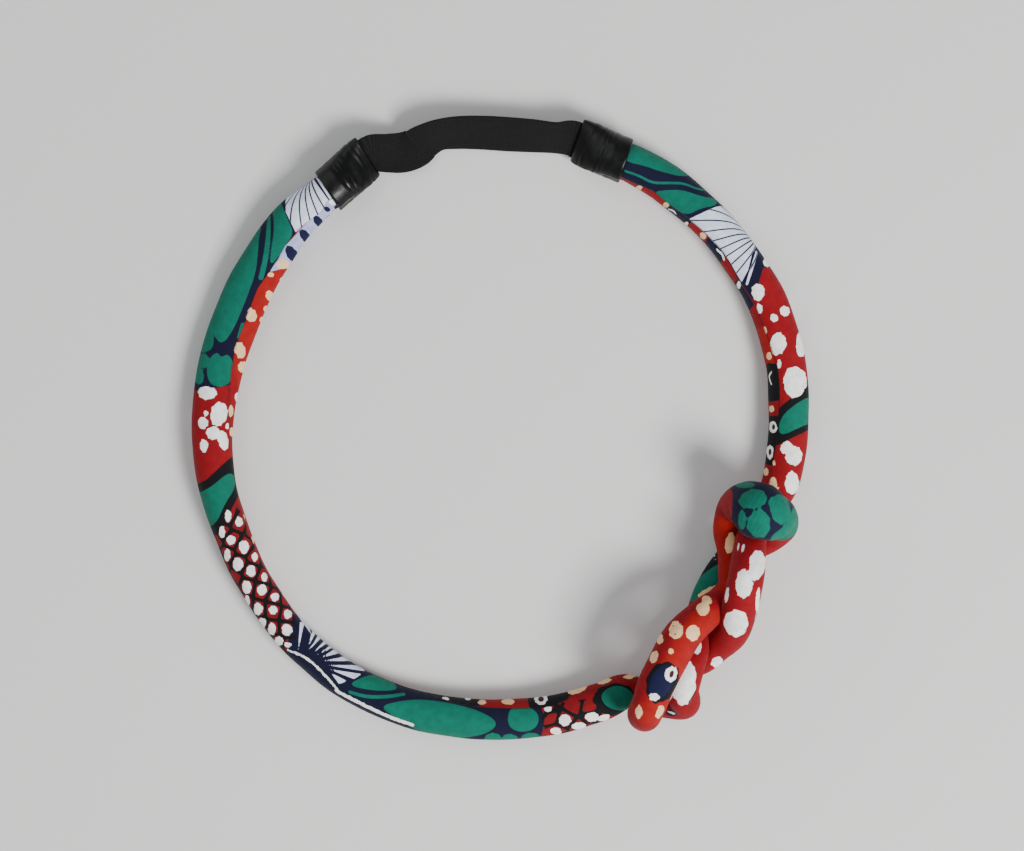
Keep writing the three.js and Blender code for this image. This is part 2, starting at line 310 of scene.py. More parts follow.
@dataclass(frozen=True)
class Stretch:
    """A run of the tube that one list of marks is drawn on.

    Attributes:
        name: what the run is.
        start, end: first and last row of the tube's rows.
        front: marks on the near side of the seam, or on all of a run that has no seam.
        inner: marks beyond the seam, towards the ring's middle.
        seam: the seam in photo pixels.
        fan: rays drawn over the pale mark.
        cast: whether the marks drop straight on it, where it bends too sharply to be laid flat.
    """

    name: str
    start: float
    end: float
    front: tuple[Mark, ...]
    inner: tuple[Mark, ...] = ()
    seam: Pixels = ()
    fan: Fan | None = None
    cast: bool = False


LEFT_SEAM = (
    (328, 201), (321, 212), (309, 221), (296, 232), (285, 246), (278, 260), (266, 276), (257, 289),
    (246, 319), (239, 337), (234, 353), (231, 372), (229, 395), (229, 425), (232, 455), (236, 480),
    (240, 505), (250, 535), (261, 560), (274, 585), (293, 607), (317, 620), (341, 641), (360, 656),
    (373, 667), (388, 678), (420, 691), (452, 702), (490, 708), (530, 708), (550, 706), (580, 694),
    (606, 684), (626, 680),
)
LEFT_FRONT = (
    Patch(Ink.NAVY, ((268, 150), (350, 180), (345, 205), (309, 223), (287, 246), (268, 277), (248, 318),
        (236, 355), (232, 385), (214, 388), (188, 392), (150, 380), (160, 300), (200, 230)), True),
    Patch(Ink.PALE, ((303, 145), (332, 165), (344, 192), (321, 213), (296, 233), (286, 212), (286, 195),
        (290, 176)), True),
    Patch(Ink.GREEN, ((276, 196), (283, 206), (288, 220), (294, 233), (285, 247), (270, 268), (271, 250),
        (274, 233), (274, 216), (270, 204))),
    Stroke(Ink.GREEN, ((269, 218), (268, 240), (265, 262), (261, 278)), 4.5),
    Patch(Ink.GREEN, ((262, 226), (259, 236), (258, 252), (256, 272), (247, 297), (235, 327), (222, 346),
        (213, 334), (204, 318), (205, 300), (218, 270), (236, 240), (250, 222))),
    Patch(Ink.GREEN, ((209, 322), (215, 342), (210, 352), (196, 352), (190, 335), (200, 320))),
    Stroke(Ink.GREEN, ((243, 324), (239, 338)), 3.5),
    *spots(Ink.GREEN, (202, 361, 16, 15), (199, 376, 10, 17)),
    Patch(Ink.GREEN, ((218, 352), (221, 358), (228, 353), (234, 364), (233, 380), (222, 388), (209, 384),
        (206, 368), (211, 356))),
    *spots(Ink.WHITE, (207, 393, 19, 13), (219, 414, 17, 24, 12), (206, 413, 5, 5), (203, 423, 10, 12),
        (213, 433, 13, 13), (223, 440, 10, 20, -12), (228, 426, 5, 6), (204, 446, 8, 13)),
    Patch(Ink.BLACK, ((185, 490), (206, 480), (233, 455), (240, 472), (242, 489), (232, 508), (220, 533),
        (190, 545), (175, 510)), True),
    Patch(Ink.GREEN, ((186, 497), (208, 490), (232, 469), (237, 486), (225, 503), (216, 525), (200, 530),
        (188, 515))),
    Patch(Ink.WINE, ((238, 491), (217, 531), (205, 540), (220, 600), (255, 650), (290, 655), (296, 646),
        (297, 625), (290, 600), (262, 560), (246, 525)), True),
    Patch(Ink.NAVY, ((296, 610), (290, 628), (287, 650), (270, 668), (300, 700), (345, 725), (380, 742),
        (420, 765), (480, 775), (538, 770), (541, 739), (545, 718), (540, 704), (500, 704), (452, 698),
        (416, 688), (388, 676), (374, 662), (356, 648), (336, 632), (312, 612)), True),
    Patch(Ink.PALE, ((298, 652), (300, 622), (304, 623)), True),
    Patch(Ink.PALE, ((311, 634), (299, 617), (307, 622)), True),
    Patch(Ink.PALE, ((308, 647), (312, 631), (316, 632)), True),
    Patch(Ink.PALE, ((309, 650), (319, 634), (323, 636)), True),
    Patch(Ink.PALE, ((313, 653), (325, 640), (330, 641)), True),
    Patch(Ink.PALE, ((317, 655), (331, 645), (337, 646)), True),
    Patch(Ink.PALE, ((320, 658), (334, 650), (345, 652)), True),
    Patch(Ink.PALE, ((321, 661), (350, 656), (355, 661)), True),
    Patch(Ink.PALE, ((326, 665), (360, 665), (365, 671)), True),
    Patch(Ink.PALE, ((329, 669), (362, 674), (354, 679)), True),
    Patch(Ink.PALE, ((331, 673), (347, 681), (339, 684)), True),
    Stroke(Ink.WHITE, ((288, 650), (306, 657), (319, 669), (329, 680), (337, 689)), 2.4),
    Stroke(Ink.WHITE, ((337, 691), (350, 698), (369, 708), (394, 719), (412, 725)), 4.5),
    Patch(Ink.GREEN, ((348, 685), (362, 677), (377, 674), (388, 678), (400, 689), (386, 691), (368, 690))),
    Stroke(Ink.GREEN, ((350, 692), (366, 697), (386, 697), (404, 694)), 3.5),
    Patch(Ink.GREEN, ((380, 706), (400, 701), (421, 699), (451, 703), (478, 710), (499, 722), (489, 733),
        (465, 738), (440, 738), (412, 728), (392, 716))),
    Patch(Ink.GREEN, ((508, 712), (516, 705), (530, 706), (540, 716), (536, 729), (521, 733), (508, 727))),
    *spots(Ink.GREEN, (493, 739, 18, 12), (510, 740, 17, 12), (531, 738, 20, 10)),
    Patch(Ink.WINE, ((548, 700), (560, 703), (592, 698), (607, 702), (606, 716), (598, 735), (560, 760),
        (542, 745), (540, 722)), True),
    *spots(Ink.WHITE, (548, 709, 7, 6), (556, 731, 11, 7), (565, 720, 12, 11), (579, 726, 14, 7),
        (592, 717, 13, 10), (604, 718, 12, 6, -15)),
    Spot(Ink.BLACK, 614, 699, 42, 32, -10),
    Patch(Ink.GREEN, ((600, 694), (612, 685), (626, 687), (636, 697), (632, 709), (616, 711), (604, 705))),
    # Painted light: lighter red near the arm's end
    Patch(Ink.LIT_RED, ((632, 660), (645, 664), (652, 700), (645, 716), (636, 712), (640, 690), (634, 676))),
)
LEFT_DOTS = (
    (228, 516, 6, 12), (239, 522, 7, 10), (222, 532, 6, 12), (231, 540, 9, 9), (244, 547, 10, 13),
    (227, 555, 6, 13), (255, 557, 6, 9), (238, 564, 10, 13), (251, 571, 9, 12), (264, 577, 6, 9),
    (247, 587, 9, 13), (262, 590, 10, 10), (275, 597, 8, 8), (247, 601, 5, 12), (258, 609, 9, 12),
    (273, 610, 9, 8), (288, 614, 8, 9), (262, 623, 8, 10), (272, 629, 8, 12), (287, 630, 10, 12),
    (279, 641, 9, 9), (288, 645, 7, 5),
)
LEFT_INNER = (
    Patch(Ink.LAVENDER, ((325, 190), (355, 220), (330, 240), (300, 268), (284, 268), (270, 272),
        (285, 246), (309, 221)), True),
    # Painted light: lighter red along this side of the arm
    Patch(Ink.LIT_RED, ((286, 262), (262, 276), (246, 318), (232, 352), (240, 400), (262, 396), (275, 340),
        (300, 285)), True),
    Spot(Ink.WHITE, 333, 202, 8, 6),
    *spots(Ink.INDIGO, (327, 209, 7, 5, 30), (337, 207, 6, 5), (331, 218, 8, 8), (318, 221, 8, 12, -35),
        (305, 236, 9, 15, -35), (292, 254, 11, 19, -35)),
    *spots(Ink.CREAM, (283, 264, 12, 10), (271, 275, 6, 5), (283, 280, 6, 6), (270, 296, 8, 11, -20),
        (266, 309, 5, 6), (251, 315, 11, 14, -20), (262, 320, 5, 6), (240, 350, 11, 17, -20),
        (243, 367, 11, 11)),
    Spot(Ink.WHITE, 237, 397, 4, 9),
    *spots(Ink.CREAM, (231, 411, 5, 12), (232, 432, 5, 9), (243, 520, 4, 12), (252, 541, 4, 9),
        (286, 598, 5, 14, -35), (300, 616, 5, 10, -40)),
    Patch(Ink.BLACK, ((424, 685), (450, 688), (478, 692), (480, 706), (452, 704), (426, 696)), True),
    Patch(Ink.BLACK, ((526, 692), (560, 688), (572, 694), (562, 705), (530, 710)), True),
    Spot(Ink.CREAM, 396, 682, 11, 6, 12),
    *spots(Ink.WHITE, (445, 699, 8, 4), (468, 698, 6, 4)),
    *spots(Ink.CREAM, (482, 702, 8, 5), (508, 702, 13, 6)),
    Spot(Ink.WHITE, 541, 699, 13, 11),
    Spot(Ink.SPECK_AND_SHADOW, 541, 699, 6, 5.5),
    *spots(Ink.CREAM, (577, 690, 20, 7, -16), (604, 681, 14, 5, -16), (631, 675, 16, 6, -20)),
)
RIGHT_SEAM = (
    (612, 172), (625, 179), (653, 191), (667, 203), (687, 217), (705, 233), (723, 252), (739, 279),
    (754, 303), (763, 326), (772, 350), (777, 366), (779, 402), (778, 433), (775, 448), (772, 464),
    (767, 491),
)
RIGHT_FRONT = (
    Patch(Ink.NAVY, ((600, 140), (632, 120), (700, 150), (760, 210), (790, 262), (763, 268), (756, 292),
        (750, 303), (739, 280), (722, 253), (704, 234), (686, 218), (667, 204), (652, 192), (620, 180)),
        True),
    Patch(Ink.GREEN, ((618, 152), (632, 138), (650, 146), (672, 158), (694, 174), (683, 177), (662, 172),
        (642, 165), (627, 162))),
    Stroke(Ink.GREEN, ((625, 171), (640, 176), (652, 183), (668, 183), (684, 183), (698, 189), (708, 190)),
        2.6),
    Patch(Ink.GREEN, ((652, 192), (668, 190), (684, 190), (700, 196), (718, 199), (716, 206), (701, 208),
        (686, 216), (667, 204))),
    Patch(Ink.PALE, ((689, 219), (704, 212), (716, 207), (732, 205), (748, 222), (760, 240), (752, 254),
        (748, 270), (742, 282), (730, 262), (716, 245), (706, 234)), True),
    Stroke(Ink.PALE, ((757, 252), (752, 268), (747, 284)), 2.5),
    *spots(Ink.WHITE, (767, 262, 7, 10), (758, 292, 13, 17), (759, 309, 6, 10), (785, 311, 10, 10),
        (774, 318, 8, 8)),
    Spot(Ink.CREAM, 764, 331, 6, 9),
    *spots(Ink.WHITE, (778, 344, 16, 23, 12), (801, 344, 10, 26), (779, 364, 4, 9), (795, 382, 23, 31)),
    Patch(Ink.BLACK, ((830, 380), (806, 386), (780, 407), (775, 425), (776, 446), (806, 431), (840, 424)),
        True),
    Patch(Ink.GREEN, ((830, 390), (806, 397), (780, 416), (778, 438), (804, 425), (835, 414))),
    *spots(Ink.WHITE, (787, 448, 13, 13), (794, 456, 17, 19)),
    Spot(Ink.CREAM, 774, 463, 3, 6),
    Spot(Ink.WHITE, 792, 483, 14, 23),
    *spots(Ink.CREAM, (773, 484, 8, 14), (778, 488, 3, 3)),
)
RIGHT_INNER = (
    *spots(Ink.CREAM, (639, 188, 7, 5, -25), (647, 198, 6, 5), (666, 205, 6, 5)),
    Patch(Ink.NAVY, ((666, 202), (692, 221), (682, 234), (660, 216)), True),
    Stroke(Ink.WHITE, ((668, 209), (673, 210), (676, 214)), 2.0),
    Spot(Ink.WHITE, 686, 224, 6, 4, -40),
    Spot(Ink.CREAM, 703, 236, 6, 7, -35),
    Patch(Ink.NAVY, ((709, 236), (726, 254), (716, 270), (700, 250)), True),
    Stroke(Ink.WHITE, ((717, 250), (722, 254), (724, 260)), 2.2),
    Spot(Ink.WHITE, 739, 285, 4, 8),
    Patch(Ink.NAVY, ((738, 279), (754, 305), (742, 318), (728, 290)), True),
    # Painted light: lighter red on this side of the arm
    Patch(Ink.LIT_RED, ((758, 326), (772, 335), (775, 362), (755, 370), (750, 340)), True),
    Spot(Ink.CREAM, 769, 356, 5, 8),
    Patch(Ink.BLACK, ((768, 363), (779, 364), (781, 400), (770, 402), (755, 385)), True),
    Stroke(Ink.WHITE, ((771, 372), (768, 377), (771, 384)), 2.2),
    Spot(Ink.CREAM, 772, 409, 5, 7),
    Patch(Ink.BLACK, ((766, 416), (780, 416), (779, 450), (774, 466), (755, 462), (750, 430)), True),
    Spot(Ink.WHITE, 773, 427, 8, 12),
    Spot(Ink.SPECK_AND_SHADOW, 773.5, 427, 3.5, 6),
    Spot(Ink.WHITE, 770, 452, 7, 14),
    Spot(Ink.SPECK_AND_SHADOW, 770, 452, 3, 7),
    Spot(Ink.CREAM, 766, 472, 5, 8),
)
CURL_MARKS = (
    *spots(Ink.WHITE, (685, 684, 22, 44, 8), (697, 646, 9, 17)),
    Spot(Ink.NAVY, 671, 713, 10, 7),
    Stroke(Ink.WHITE, ((668, 712), (675, 714)), 2.0),
    # Painted shadow: a thin dark line where the curl meets the strand beside it
    Stroke(Ink.SPECK_AND_SHADOW, ((688, 704), (693, 696), (696, 690)), 1.6),
)
FLOOR_MARKS = (
    Patch(Ink.BLACK, ((690, 545), (712, 535), (740, 540), (735, 560), (722, 570), (700, 580), (688, 600),
        (670, 580)), True),
    Patch(Ink.GREEN, ((685, 604), (690, 588), (702, 574), (722, 562), (740, 556), (740, 580), (724, 590),
        (704, 592), (696, 600))),
    Stroke(Ink.CREAM, ((700, 595), (712, 588), (728, 584)), 4.5),
    Stroke(Ink.WHITE, ((719, 549), (716, 552), (714, 557), (716, 559)), 1.8),
)
LOOP_GROUND = (
    Patch(Ink.NAVY, ((733, 470), (760, 420), (860, 455), (870, 520), (830, 600), (755, 600), (737, 560),
        (732, 520)), True),
)
LOOP_MARKS = (
    *spots(Ink.GREEN, (745, 485, 20, 6), (753, 499, 29, 19, -12), (759, 524, 23, 28),
        (780, 509, 20, 30, -8), (742, 520, 8, 20)),
    Patch(Ink.GREEN, ((796, 494), (805, 508), (801, 525), (789, 543), (770, 544), (771, 536), (785, 526),
        (793, 511))),
)
NECK_MARKS = (
    # Painted light: the neck in the lighter red, under its print
    Patch(Ink.LIT_RED, ((695, 490), (745, 490), (745, 560), (735, 600), (700, 600), (700, 540)), True),
    *spots(Ink.CREAM, (730, 543, 9, 22, 8), (726, 505, 3.5, 6)),
)
TUCK_MARKS = (
    # Painted light: the whole tuck in the lighter red
    Patch(Ink.LIT_RED, ((760, 600), (640, 610), (560, 700), (570, 800), (700, 800), (790, 690)), True),
)
RETURN_MARKS = (
    # Painted light: lighter red under the return's print
    Patch(Ink.LIT_RED, ((790, 540), (700, 540), (610, 580), (570, 690), (580, 800), (700, 800), (770, 690),
        (790, 620)), True),
    *spots(Ink.CREAM, (707, 600, 11, 8, 30), (703, 609, 13, 13), (676, 630, 14, 18), (693, 633, 14, 16),
        (660, 639, 7, 10), (671, 651, 6, 6), (654, 657, 8, 13, 20)),
    *spots(Ink.SPECK_AND_SHADOW, (673, 626, 2, 2), (678, 630, 3, 2), (675, 635, 2, 3)),
    Spot(Ink.BLACK, 662, 682, 31, 43, 24),
    Patch(Ink.INDIGO, ((668, 663), (676, 672), (672, 688), (661, 700), (650, 697), (648, 684), (656, 669))),
    Spot(Ink.WHITE, 671, 674, 12, 16, 15),
    Spot(Ink.SPECK_AND_SHADOW, 671.5, 674, 4.5, 8, 15),
    Spot(Ink.WHITE, 654, 697, 12, 7),
    *spots(Ink.CREAM, (639, 712, 7, 13), (660, 712, 7, 14, 25), (632, 729, 8, 8)),
)
OUTLET_MARKS = (
    *spots(Ink.WHITE, (757, 565, 16, 30, 5), (744, 584, 17, 29), (727, 595, 3.5, 16, 8),
        (736, 623, 24, 27), (717, 662, 12, 10, -20), (743, 548, 3, 8, 10), (738, 547, 2, 8, 10),
        (758, 600, 4, 26, 5)),
    *spots(Ink.SPECK_AND_SHADOW, (737, 630, 4, 1.6), (741, 627, 1.8, 3), (733, 626, 1.6, 1.6), (745, 630, 1.6, 3)),
    Stroke(Ink.LAVENDER, ((757, 610), (754, 624), (748, 640)), 2.0),
)

LATTICE_SPOTS = tuple(Spot(Ink.WHITE, *dot) for dot in LEFT_DOTS)
# Cells of the net at the knot that have no dot
BARE_CELLS = (
    (573, 705),
    (590, 708),
    (551, 716),
)
# The white dots of that net are those of the left arm's front past this pixel column
END_NET_FROM = 545
END_LATTICE = BARE_CELLS + tuple(
    (mark.x, mark.y)
    for mark in LEFT_FRONT
    if isinstance(mark, Spot) and mark.ink is Ink.WHITE and mark.x > END_NET_FROM
)

# Runs of the tube between two of its rows, counted from the left cap
STRETCHES = (
    Stretch("left arm", 1.0, 16.6, LEFT_FRONT + LATTICE_SPOTS, LEFT_INNER, LEFT_SEAM,
            Fan((311, 172), (289, 200), (328, 198), 6)),
    Stretch("curl", 16.6, 23.0, CURL_MARKS),
    Stretch("floor", 23.0, 28.2, FLOOR_MARKS),
    Stretch("loop's underside", 28.2, 33.4, LOOP_GROUND),
    Stretch("loop", 28.2, 33.2, LOOP_MARKS, cast=True),
    Stretch("neck", 33.4, 37.0, NECK_MARKS),
    Stretch("return", 37.0, 44.4, RETURN_MARKS),
    Stretch("tuck", 44.4, 50.0, TUCK_MARKS),
    Stretch("outlet", 50.0, 58.6, OUTLET_MARKS),
    Stretch("right arm", 58.6, 69.5, RIGHT_FRONT, RIGHT_INNER, RIGHT_SEAM,
            Fan((762, 234), (712, 210), (744, 280), 8)),
)


# Small geometry helpers


def polar(radius: float, degrees: float, height: float = 0.0) -> np.ndarray:
    """A point at a radius and an angle round the ring's centre."""
    angle = math.radians(degrees)
    return np.array([radius * math.cos(angle), radius * math.sin(angle), height])


def angle_of(point: np.ndarray) -> float:
    """Angle of a point round the ring's centre, in degrees."""
    return math.degrees(math.atan2(point[1], point[0]))


def smoothstep(value: Number, low: float, high: float) -> Number:
    """0 below low, 1 above high and an eased climb between."""
    share = np.clip((value - low) / (high - low), 0.0, 1.0)
    return share * share * (3.0 - 2.0 * share)


def mix(low: Number, high: Number, share: Number) -> Number:
    """The value a share of the way from low to high."""
    return low + (high - low) * share


def unit(vectors: np.ndarray) -> np.ndarray:
    """Vectors brought to length one."""
    return vectors / np.linalg.norm(vectors, axis=-1, keepdims=True)


def rotate(vector: np.ndarray, axis: np.ndarray, angle: float) -> np.ndarray:
    """Turns a vector.

    Args:
        vector: what to turn.
        axis: what to turn it about, of length one.
        angle: how far, in radians.

    Returns:
        The turned vector.
    """
    across = np.cross(axis, vector)
    return (
        vector * math.cos(angle)
        + across * math.sin(angle)
        + axis * np.dot(axis, vector) * (1.0 - math.cos(angle))
    )


def upright(tangent: np.ndarray) -> tuple[np.ndarray, np.ndarray]:
    """Side and lift of a section that stands upright on its route."""
    side = unit(np.cross(UP, tangent))
    return side, unit(np.cross(tangent, side))


@dataclass
class Row:
    """A section that a route passes through.

    Attributes:
        point: its middle.
        half: half its breadth and half its height.
        tilt: turn about the route, in degrees.
        rests: whether it lies on the floor.
        in_knot: whether it belongs to the knot.
    """

    point: np.ndarray
    half: tuple[float, float]
    tilt: float = 0.0
    rests: bool = False
    in_knot: bool = False


@dataclass
class Route:
    """Sections along a smooth curve, in order.

    Attributes:
        centre, tangent, side, lift: a vector for each section.
        half: half breadth and half height of each.
        tilt: turn about the route of each, in degrees.
        in_knot: whether each belongs to the knot.
        row: the place of each among the rows, with its share of the span.
    """

    centre: np.ndarray
    tangent: np.ndarray
    half: np.ndarray
    tilt: np.ndarray
    in_knot: np.ndarray
    row: np.ndarray
    side: np.ndarray = field(init=False)
    lift: np.ndarray = field(init=False)

    def __post_init__(self) -> None:
        """Stands every section upright."""
        frames = [upright(tangent) for tangent in self.tangent]
        self.side = np.array([side for side, _ in frames])
        self.lift = np.array([lift for _, lift in frames])

    @property
    def arc(self) -> np.ndarray:
        """Length along the route up to each section."""
        steps = np.linalg.norm(np.diff(self.centre, axis=0), axis=1)
        return np.concatenate([[0.0], np.cumsum(steps)])


def route_through(rows: Sequence[Row], step_of: Callable[[Row], float]) -> Route:
    """A centripetal Catmull-Rom curve through the rows, as the part's own route is.

    Args:
        rows: the sections to pass through.
        step_of: the wanted spacing of sections after a row.

    Returns:
        The route, with upright sections.
    """
    values = np.array([[*row.point, *row.half, row.tilt] for row in rows])
    padded = np.vstack([2 * values[0] - values[1], values, 2 * values[-1] - values[-2]])
    found, slopes, knots, places, rests = [], [], [], [], []
    for i, row in enumerate(rows[:-1]):
        before, here, after, beyond = padded[i : i + 4]
        gaps = [
            max(np.linalg.norm(far[:3] - near[:3]), LEAST_GAP) ** 0.5
            for near, far in ((before, here), (here, after), (after, beyond))
        ]
        leave = (here - before) / gaps[0] - (after - before) / (gaps[0] + gaps[1])
        leave = (leave + (after - here) / gaps[1]) * gaps[1]
        arrive = (after - here) / gaps[1] - (beyond - here) / (gaps[1] + gaps[2])
        arrive = (arrive + (beyond - after) / gaps[2]) * gaps[1]
        span = np.linalg.norm(after[:3] - here[:3])
        steps = max(1, round(span / step_of(row)))
        last = i == len(rows) - 2
        share = (np.arange(steps + last) / steps)[:, None]
        cubic = 2 * here - 2 * after + leave + arrive
        square = -3 * here + 3 * after - 2 * leave - arrive
        found.append(here + leave * share + square * share**2 + cubic * share**3)
        slopes.append(leave + 2 * square * share + 3 * cubic * share**2)
        knots += [row.in_knot and rows[i + 1].in_knot] * len(share)
        rests += [row.rests and rows[i + 1].rests] * len(share)
        places += list(i + share[:, 0])
    found, slopes = np.vstack(found), np.vstack(slopes)[:, :3]
    rests = np.array(rests)
    found[rests, 2] = found[rests, 4] * REST_SHARE
    slopes[rests, 2] = 0.0
    return Route(
        centre=found[:, :3],
        tangent=unit(slopes),
        half=found[:, 3:5],
        tilt=found[:, 5],
        in_knot=np.array(knots),
        row=np.array(places),
    )


def share_turn(route: Route) -> None:
    """Lets the knot's sections turn only with the strand, and shares the left-over turn evenly.

    Args:
        route: the tube's route, whose sides and lifts are changed.
    """
    inside = np.flatnonzero(route.in_knot)
    first, last = inside[0], inside[-1] + 1
    target = route.side[last].copy()
    for i in range(first + 1, last + 1):
        was, now = route.tangent[i - 1], route.tangent[i]
        axis = np.cross(was, now)
        turn = np.linalg.norm(axis)
        side = route.side[i - 1]
        if turn > TINY:
            side = rotate(side, axis / turn, math.atan2(turn, np.dot(was, now)))
        route.side[i] = unit(side - now * np.dot(side, now))
    end = route.tangent[last]
    across = np.cross(end, route.side[last])
    left_over = math.atan2(np.dot(target, across), np.dot(target, route.side[last]))
    for i in range(first, last + 1):
        share = (i - first) / (last - first)
        route.side[i] = rotate(route.side[i], route.tangent[i], left_over * share)
        route.lift[i] = np.cross(route.tangent[i], route.side[i])


# Where the points of a section begin, in degrees: at its underside
SECTION_START = -90.0


def section(route_count: int, around: int) -> np.ndarray:
    """Angles round a section, in radians, the same for every one of a route's sections."""
    turns = np.arange(around) / around * FULL_TURN + SECTION_START
    return np.tile(np.radians(turns), (route_count, 1))


def squarish(angles: np.ndarray, roundness: np.ndarray) -> tuple[np.ndarray, np.ndarray]:
    """Points of a section whose corners fill out as its roundness goes up from 2, an ellipse.

    Args:
        angles: angles round it, in radians.
        roundness: power of its curve.

    Returns:
        Points across and up, as shares of its half breadth and half height.
    """
    power = 2.0 / roundness
    x = np.sign(np.cos(angles)) * np.abs(np.cos(angles)) ** power
    y = np.sign(np.sin(angles)) * np.abs(np.sin(angles)) ** power
    return x, y


def grid_faces(rings: int, around: int, loop: bool = False) -> list[tuple[int, ...]]:
    """Faces of a surface through rings of points.

    Args:
        rings: number of rings.
        around: number of points in each.
        loop: whether the last ring joins the first.

    Returns:
        Vertex numbers of each face, with a flat one at both ends unless it loops.
    """
    i, j = np.meshgrid(np.arange(rings if loop else rings - 1), np.arange(around), indexing="ij")
    nxt, k = (i + 1) % rings, (j + 1) % around
    quads = np.stack([i * around + j, i * around + k, nxt * around + k, nxt * around + j], -1)
    faces = [tuple(quad) for quad in quads.reshape(-1, 4).tolist()]
    if not loop:
        base = (rings - 1) * around
        faces.append(tuple(range(around - 1, -1, -1)))
        faces.append(tuple(range(base, base + around)))
    return faces


def lay_cloth(mesh: bpy.types.Mesh, run: np.ndarray, turn: np.ndarray) -> None:
    """Gives a grid's faces the cloth's own coordinates, in millimetres along and across.

    Args:
        mesh: a mesh whose first faces are the grid's, ring by ring.
        run: length along the cloth of each ring.
        turn: distance across it of each column, with one more for the way back to the first.
    """
    layer = mesh.uv_layers.new(name=CLOTH_MAP)
    corners = np.zeros((len(mesh.loops), 2), np.float32)
    i, j = np.meshgrid(np.arange(len(run) - 1), np.arange(len(turn) - 1), indexing="ij")
    along = np.stack([run[i], run[i], run[i + 1], run[i + 1]], -1)
    aside = np.stack([turn[j], turn[j + 1], turn[j + 1], turn[j]], -1)
    quads = np.stack([along, aside], -1).reshape(-1, 2)
    corners[: len(quads)] = quads
    layer.data.foreach_set("uv", corners.ravel())


def make_mesh(name: str, points: np.ndarray, faces: list[tuple[int, ...]]) -> bpy.types.Object:
    """A smooth mesh from points in the ring's millimetres.

    Args:
        name: the piece's name.
        points: one row per vertex, round the ring's centre.
        faces: vertex numbers of each face.

    Returns:
        The object, riding the headband's only body.
    """
    placed = (points.reshape(-1, 3) + RING_CENTRE) * METRES
    mesh = bpy.data.meshes.new(name)
    mesh.from_pydata(placed.tolist(), [], faces)
    mesh.shade_smooth()
    made = bpy.data.objects.new(name, mesh)
    bpy.context.scene.collection.objects.link(made)
    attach(made, ROOT)
    triangles = sum(len(polygon.vertices) - 2 for polygon in mesh.polygons)
    log.info("%s: %d vertices, %d triangles", name, len(mesh.vertices), triangles)
    return made


def store_numbers(mesh: bpy.types.Mesh, name: str, values: np.ndarray) -> None:
    """Keeps a number for each vertex of a mesh, for its material to read."""
    made = mesh.attributes.new(name, "FLOAT", "POINT")
    made.data.foreach_set("value", values.ravel().astype(np.float32))


# Height of a resting tube's middle as a share of its half height: the padding is pressed a little
# flat where it lies
REST_SHARE = 0.966


@dataclass
class CapAxis:
    """A cap's mouth, the direction that it runs in and how far its end is pulled aside."""

    mouth: np.ndarray
    along: np.ndarray
    bend: np.ndarray

    @property
    def end(self) -> np.ndarray:
        """The middle of the end that the elastic comes out of."""
        return self.mouth + self.along * CAP_LENGTH + self.bend


def cap_axis(cap: CapForm) -> CapAxis:
    """The axis of a cap.

    Args:
        cap: how it lies.

    Returns:
        Its axis, with the mouth high enough for the tube's leather to clear the floor.
    """
    height = TUBE_DIAMETER * GRIP_BREADTH / 2 + CLEARANCE + CAP_WALL
    heading = cap.angle + cap.turn * (90 + cap.lean)
    bend = polar(CAP_LENGTH * cap.pull, heading - cap.turn * 90, -CAP_LENGTH * CAP_DROP)
    return CapAxis(polar(RING_RADIUS * cap.radius, cap.angle, height), polar(1.0, heading), bend)


@dataclass
class TubeForm:
    """Fineness and softness of the padded tube.

    Attributes:
        around: points round a section.
        arm_step, knot_step: spacing of sections along the arms and through the knot.
        bulge_power: how much closer they are where the tube is thicker in the knot.
        lump: how far the filler stands out or in, over lump_length.
        lump_waves: number of swellings laid over each other.
        lump_spread: least and greatest length of a swelling, as shares of lump_length.
        crease: depth of the creases on the inner side of a tight bend.
        crease_length: spacing of those creases.
        crease_bend: half breadth over radius of the bends where they start and are full.
        crease_level: height in a crease that stays at the tube's own surface.
        crease_power: how sharp the creases are, sharper towards 0.
        wander: how far a crease strays from its place, in radians, changing every wander_step.
        press_gap: share by which pressed strands keep clear of each other.
        press_least: smallest share of its girth that a pressed strand keeps.
        press_halvings: how often the pressed place is narrowed down.
        press_margin: sections past the knot's ends that may be pressed too.
        apart: length of tube between two places that counts them as separate strands.
    """

    around: int = 92
    arm_step: float = 0.62
    knot_step: float = 0.86
    bulge_power: float = 3.4
    lump: float = 0.16
    lump_length: float = 17.0
    lump_waves: int = 5
    lump_spread: tuple[float, float] = (0.6, 1.8)
    crease: float = 0.42
    crease_length: float = 3.4
    crease_bend: tuple[float, float] = (0.16, 0.75)
    crease_level: float = 0.75
    crease_power: float = 0.7
    wander: float = 0.9
    wander_step: int = 6
    press_gap: float = 0.985
    press_least: float = 0.35
    press_halvings: int = 12
    press_margin: int = 60
    apart: float = 1.3 * TUBE_DIAMETER


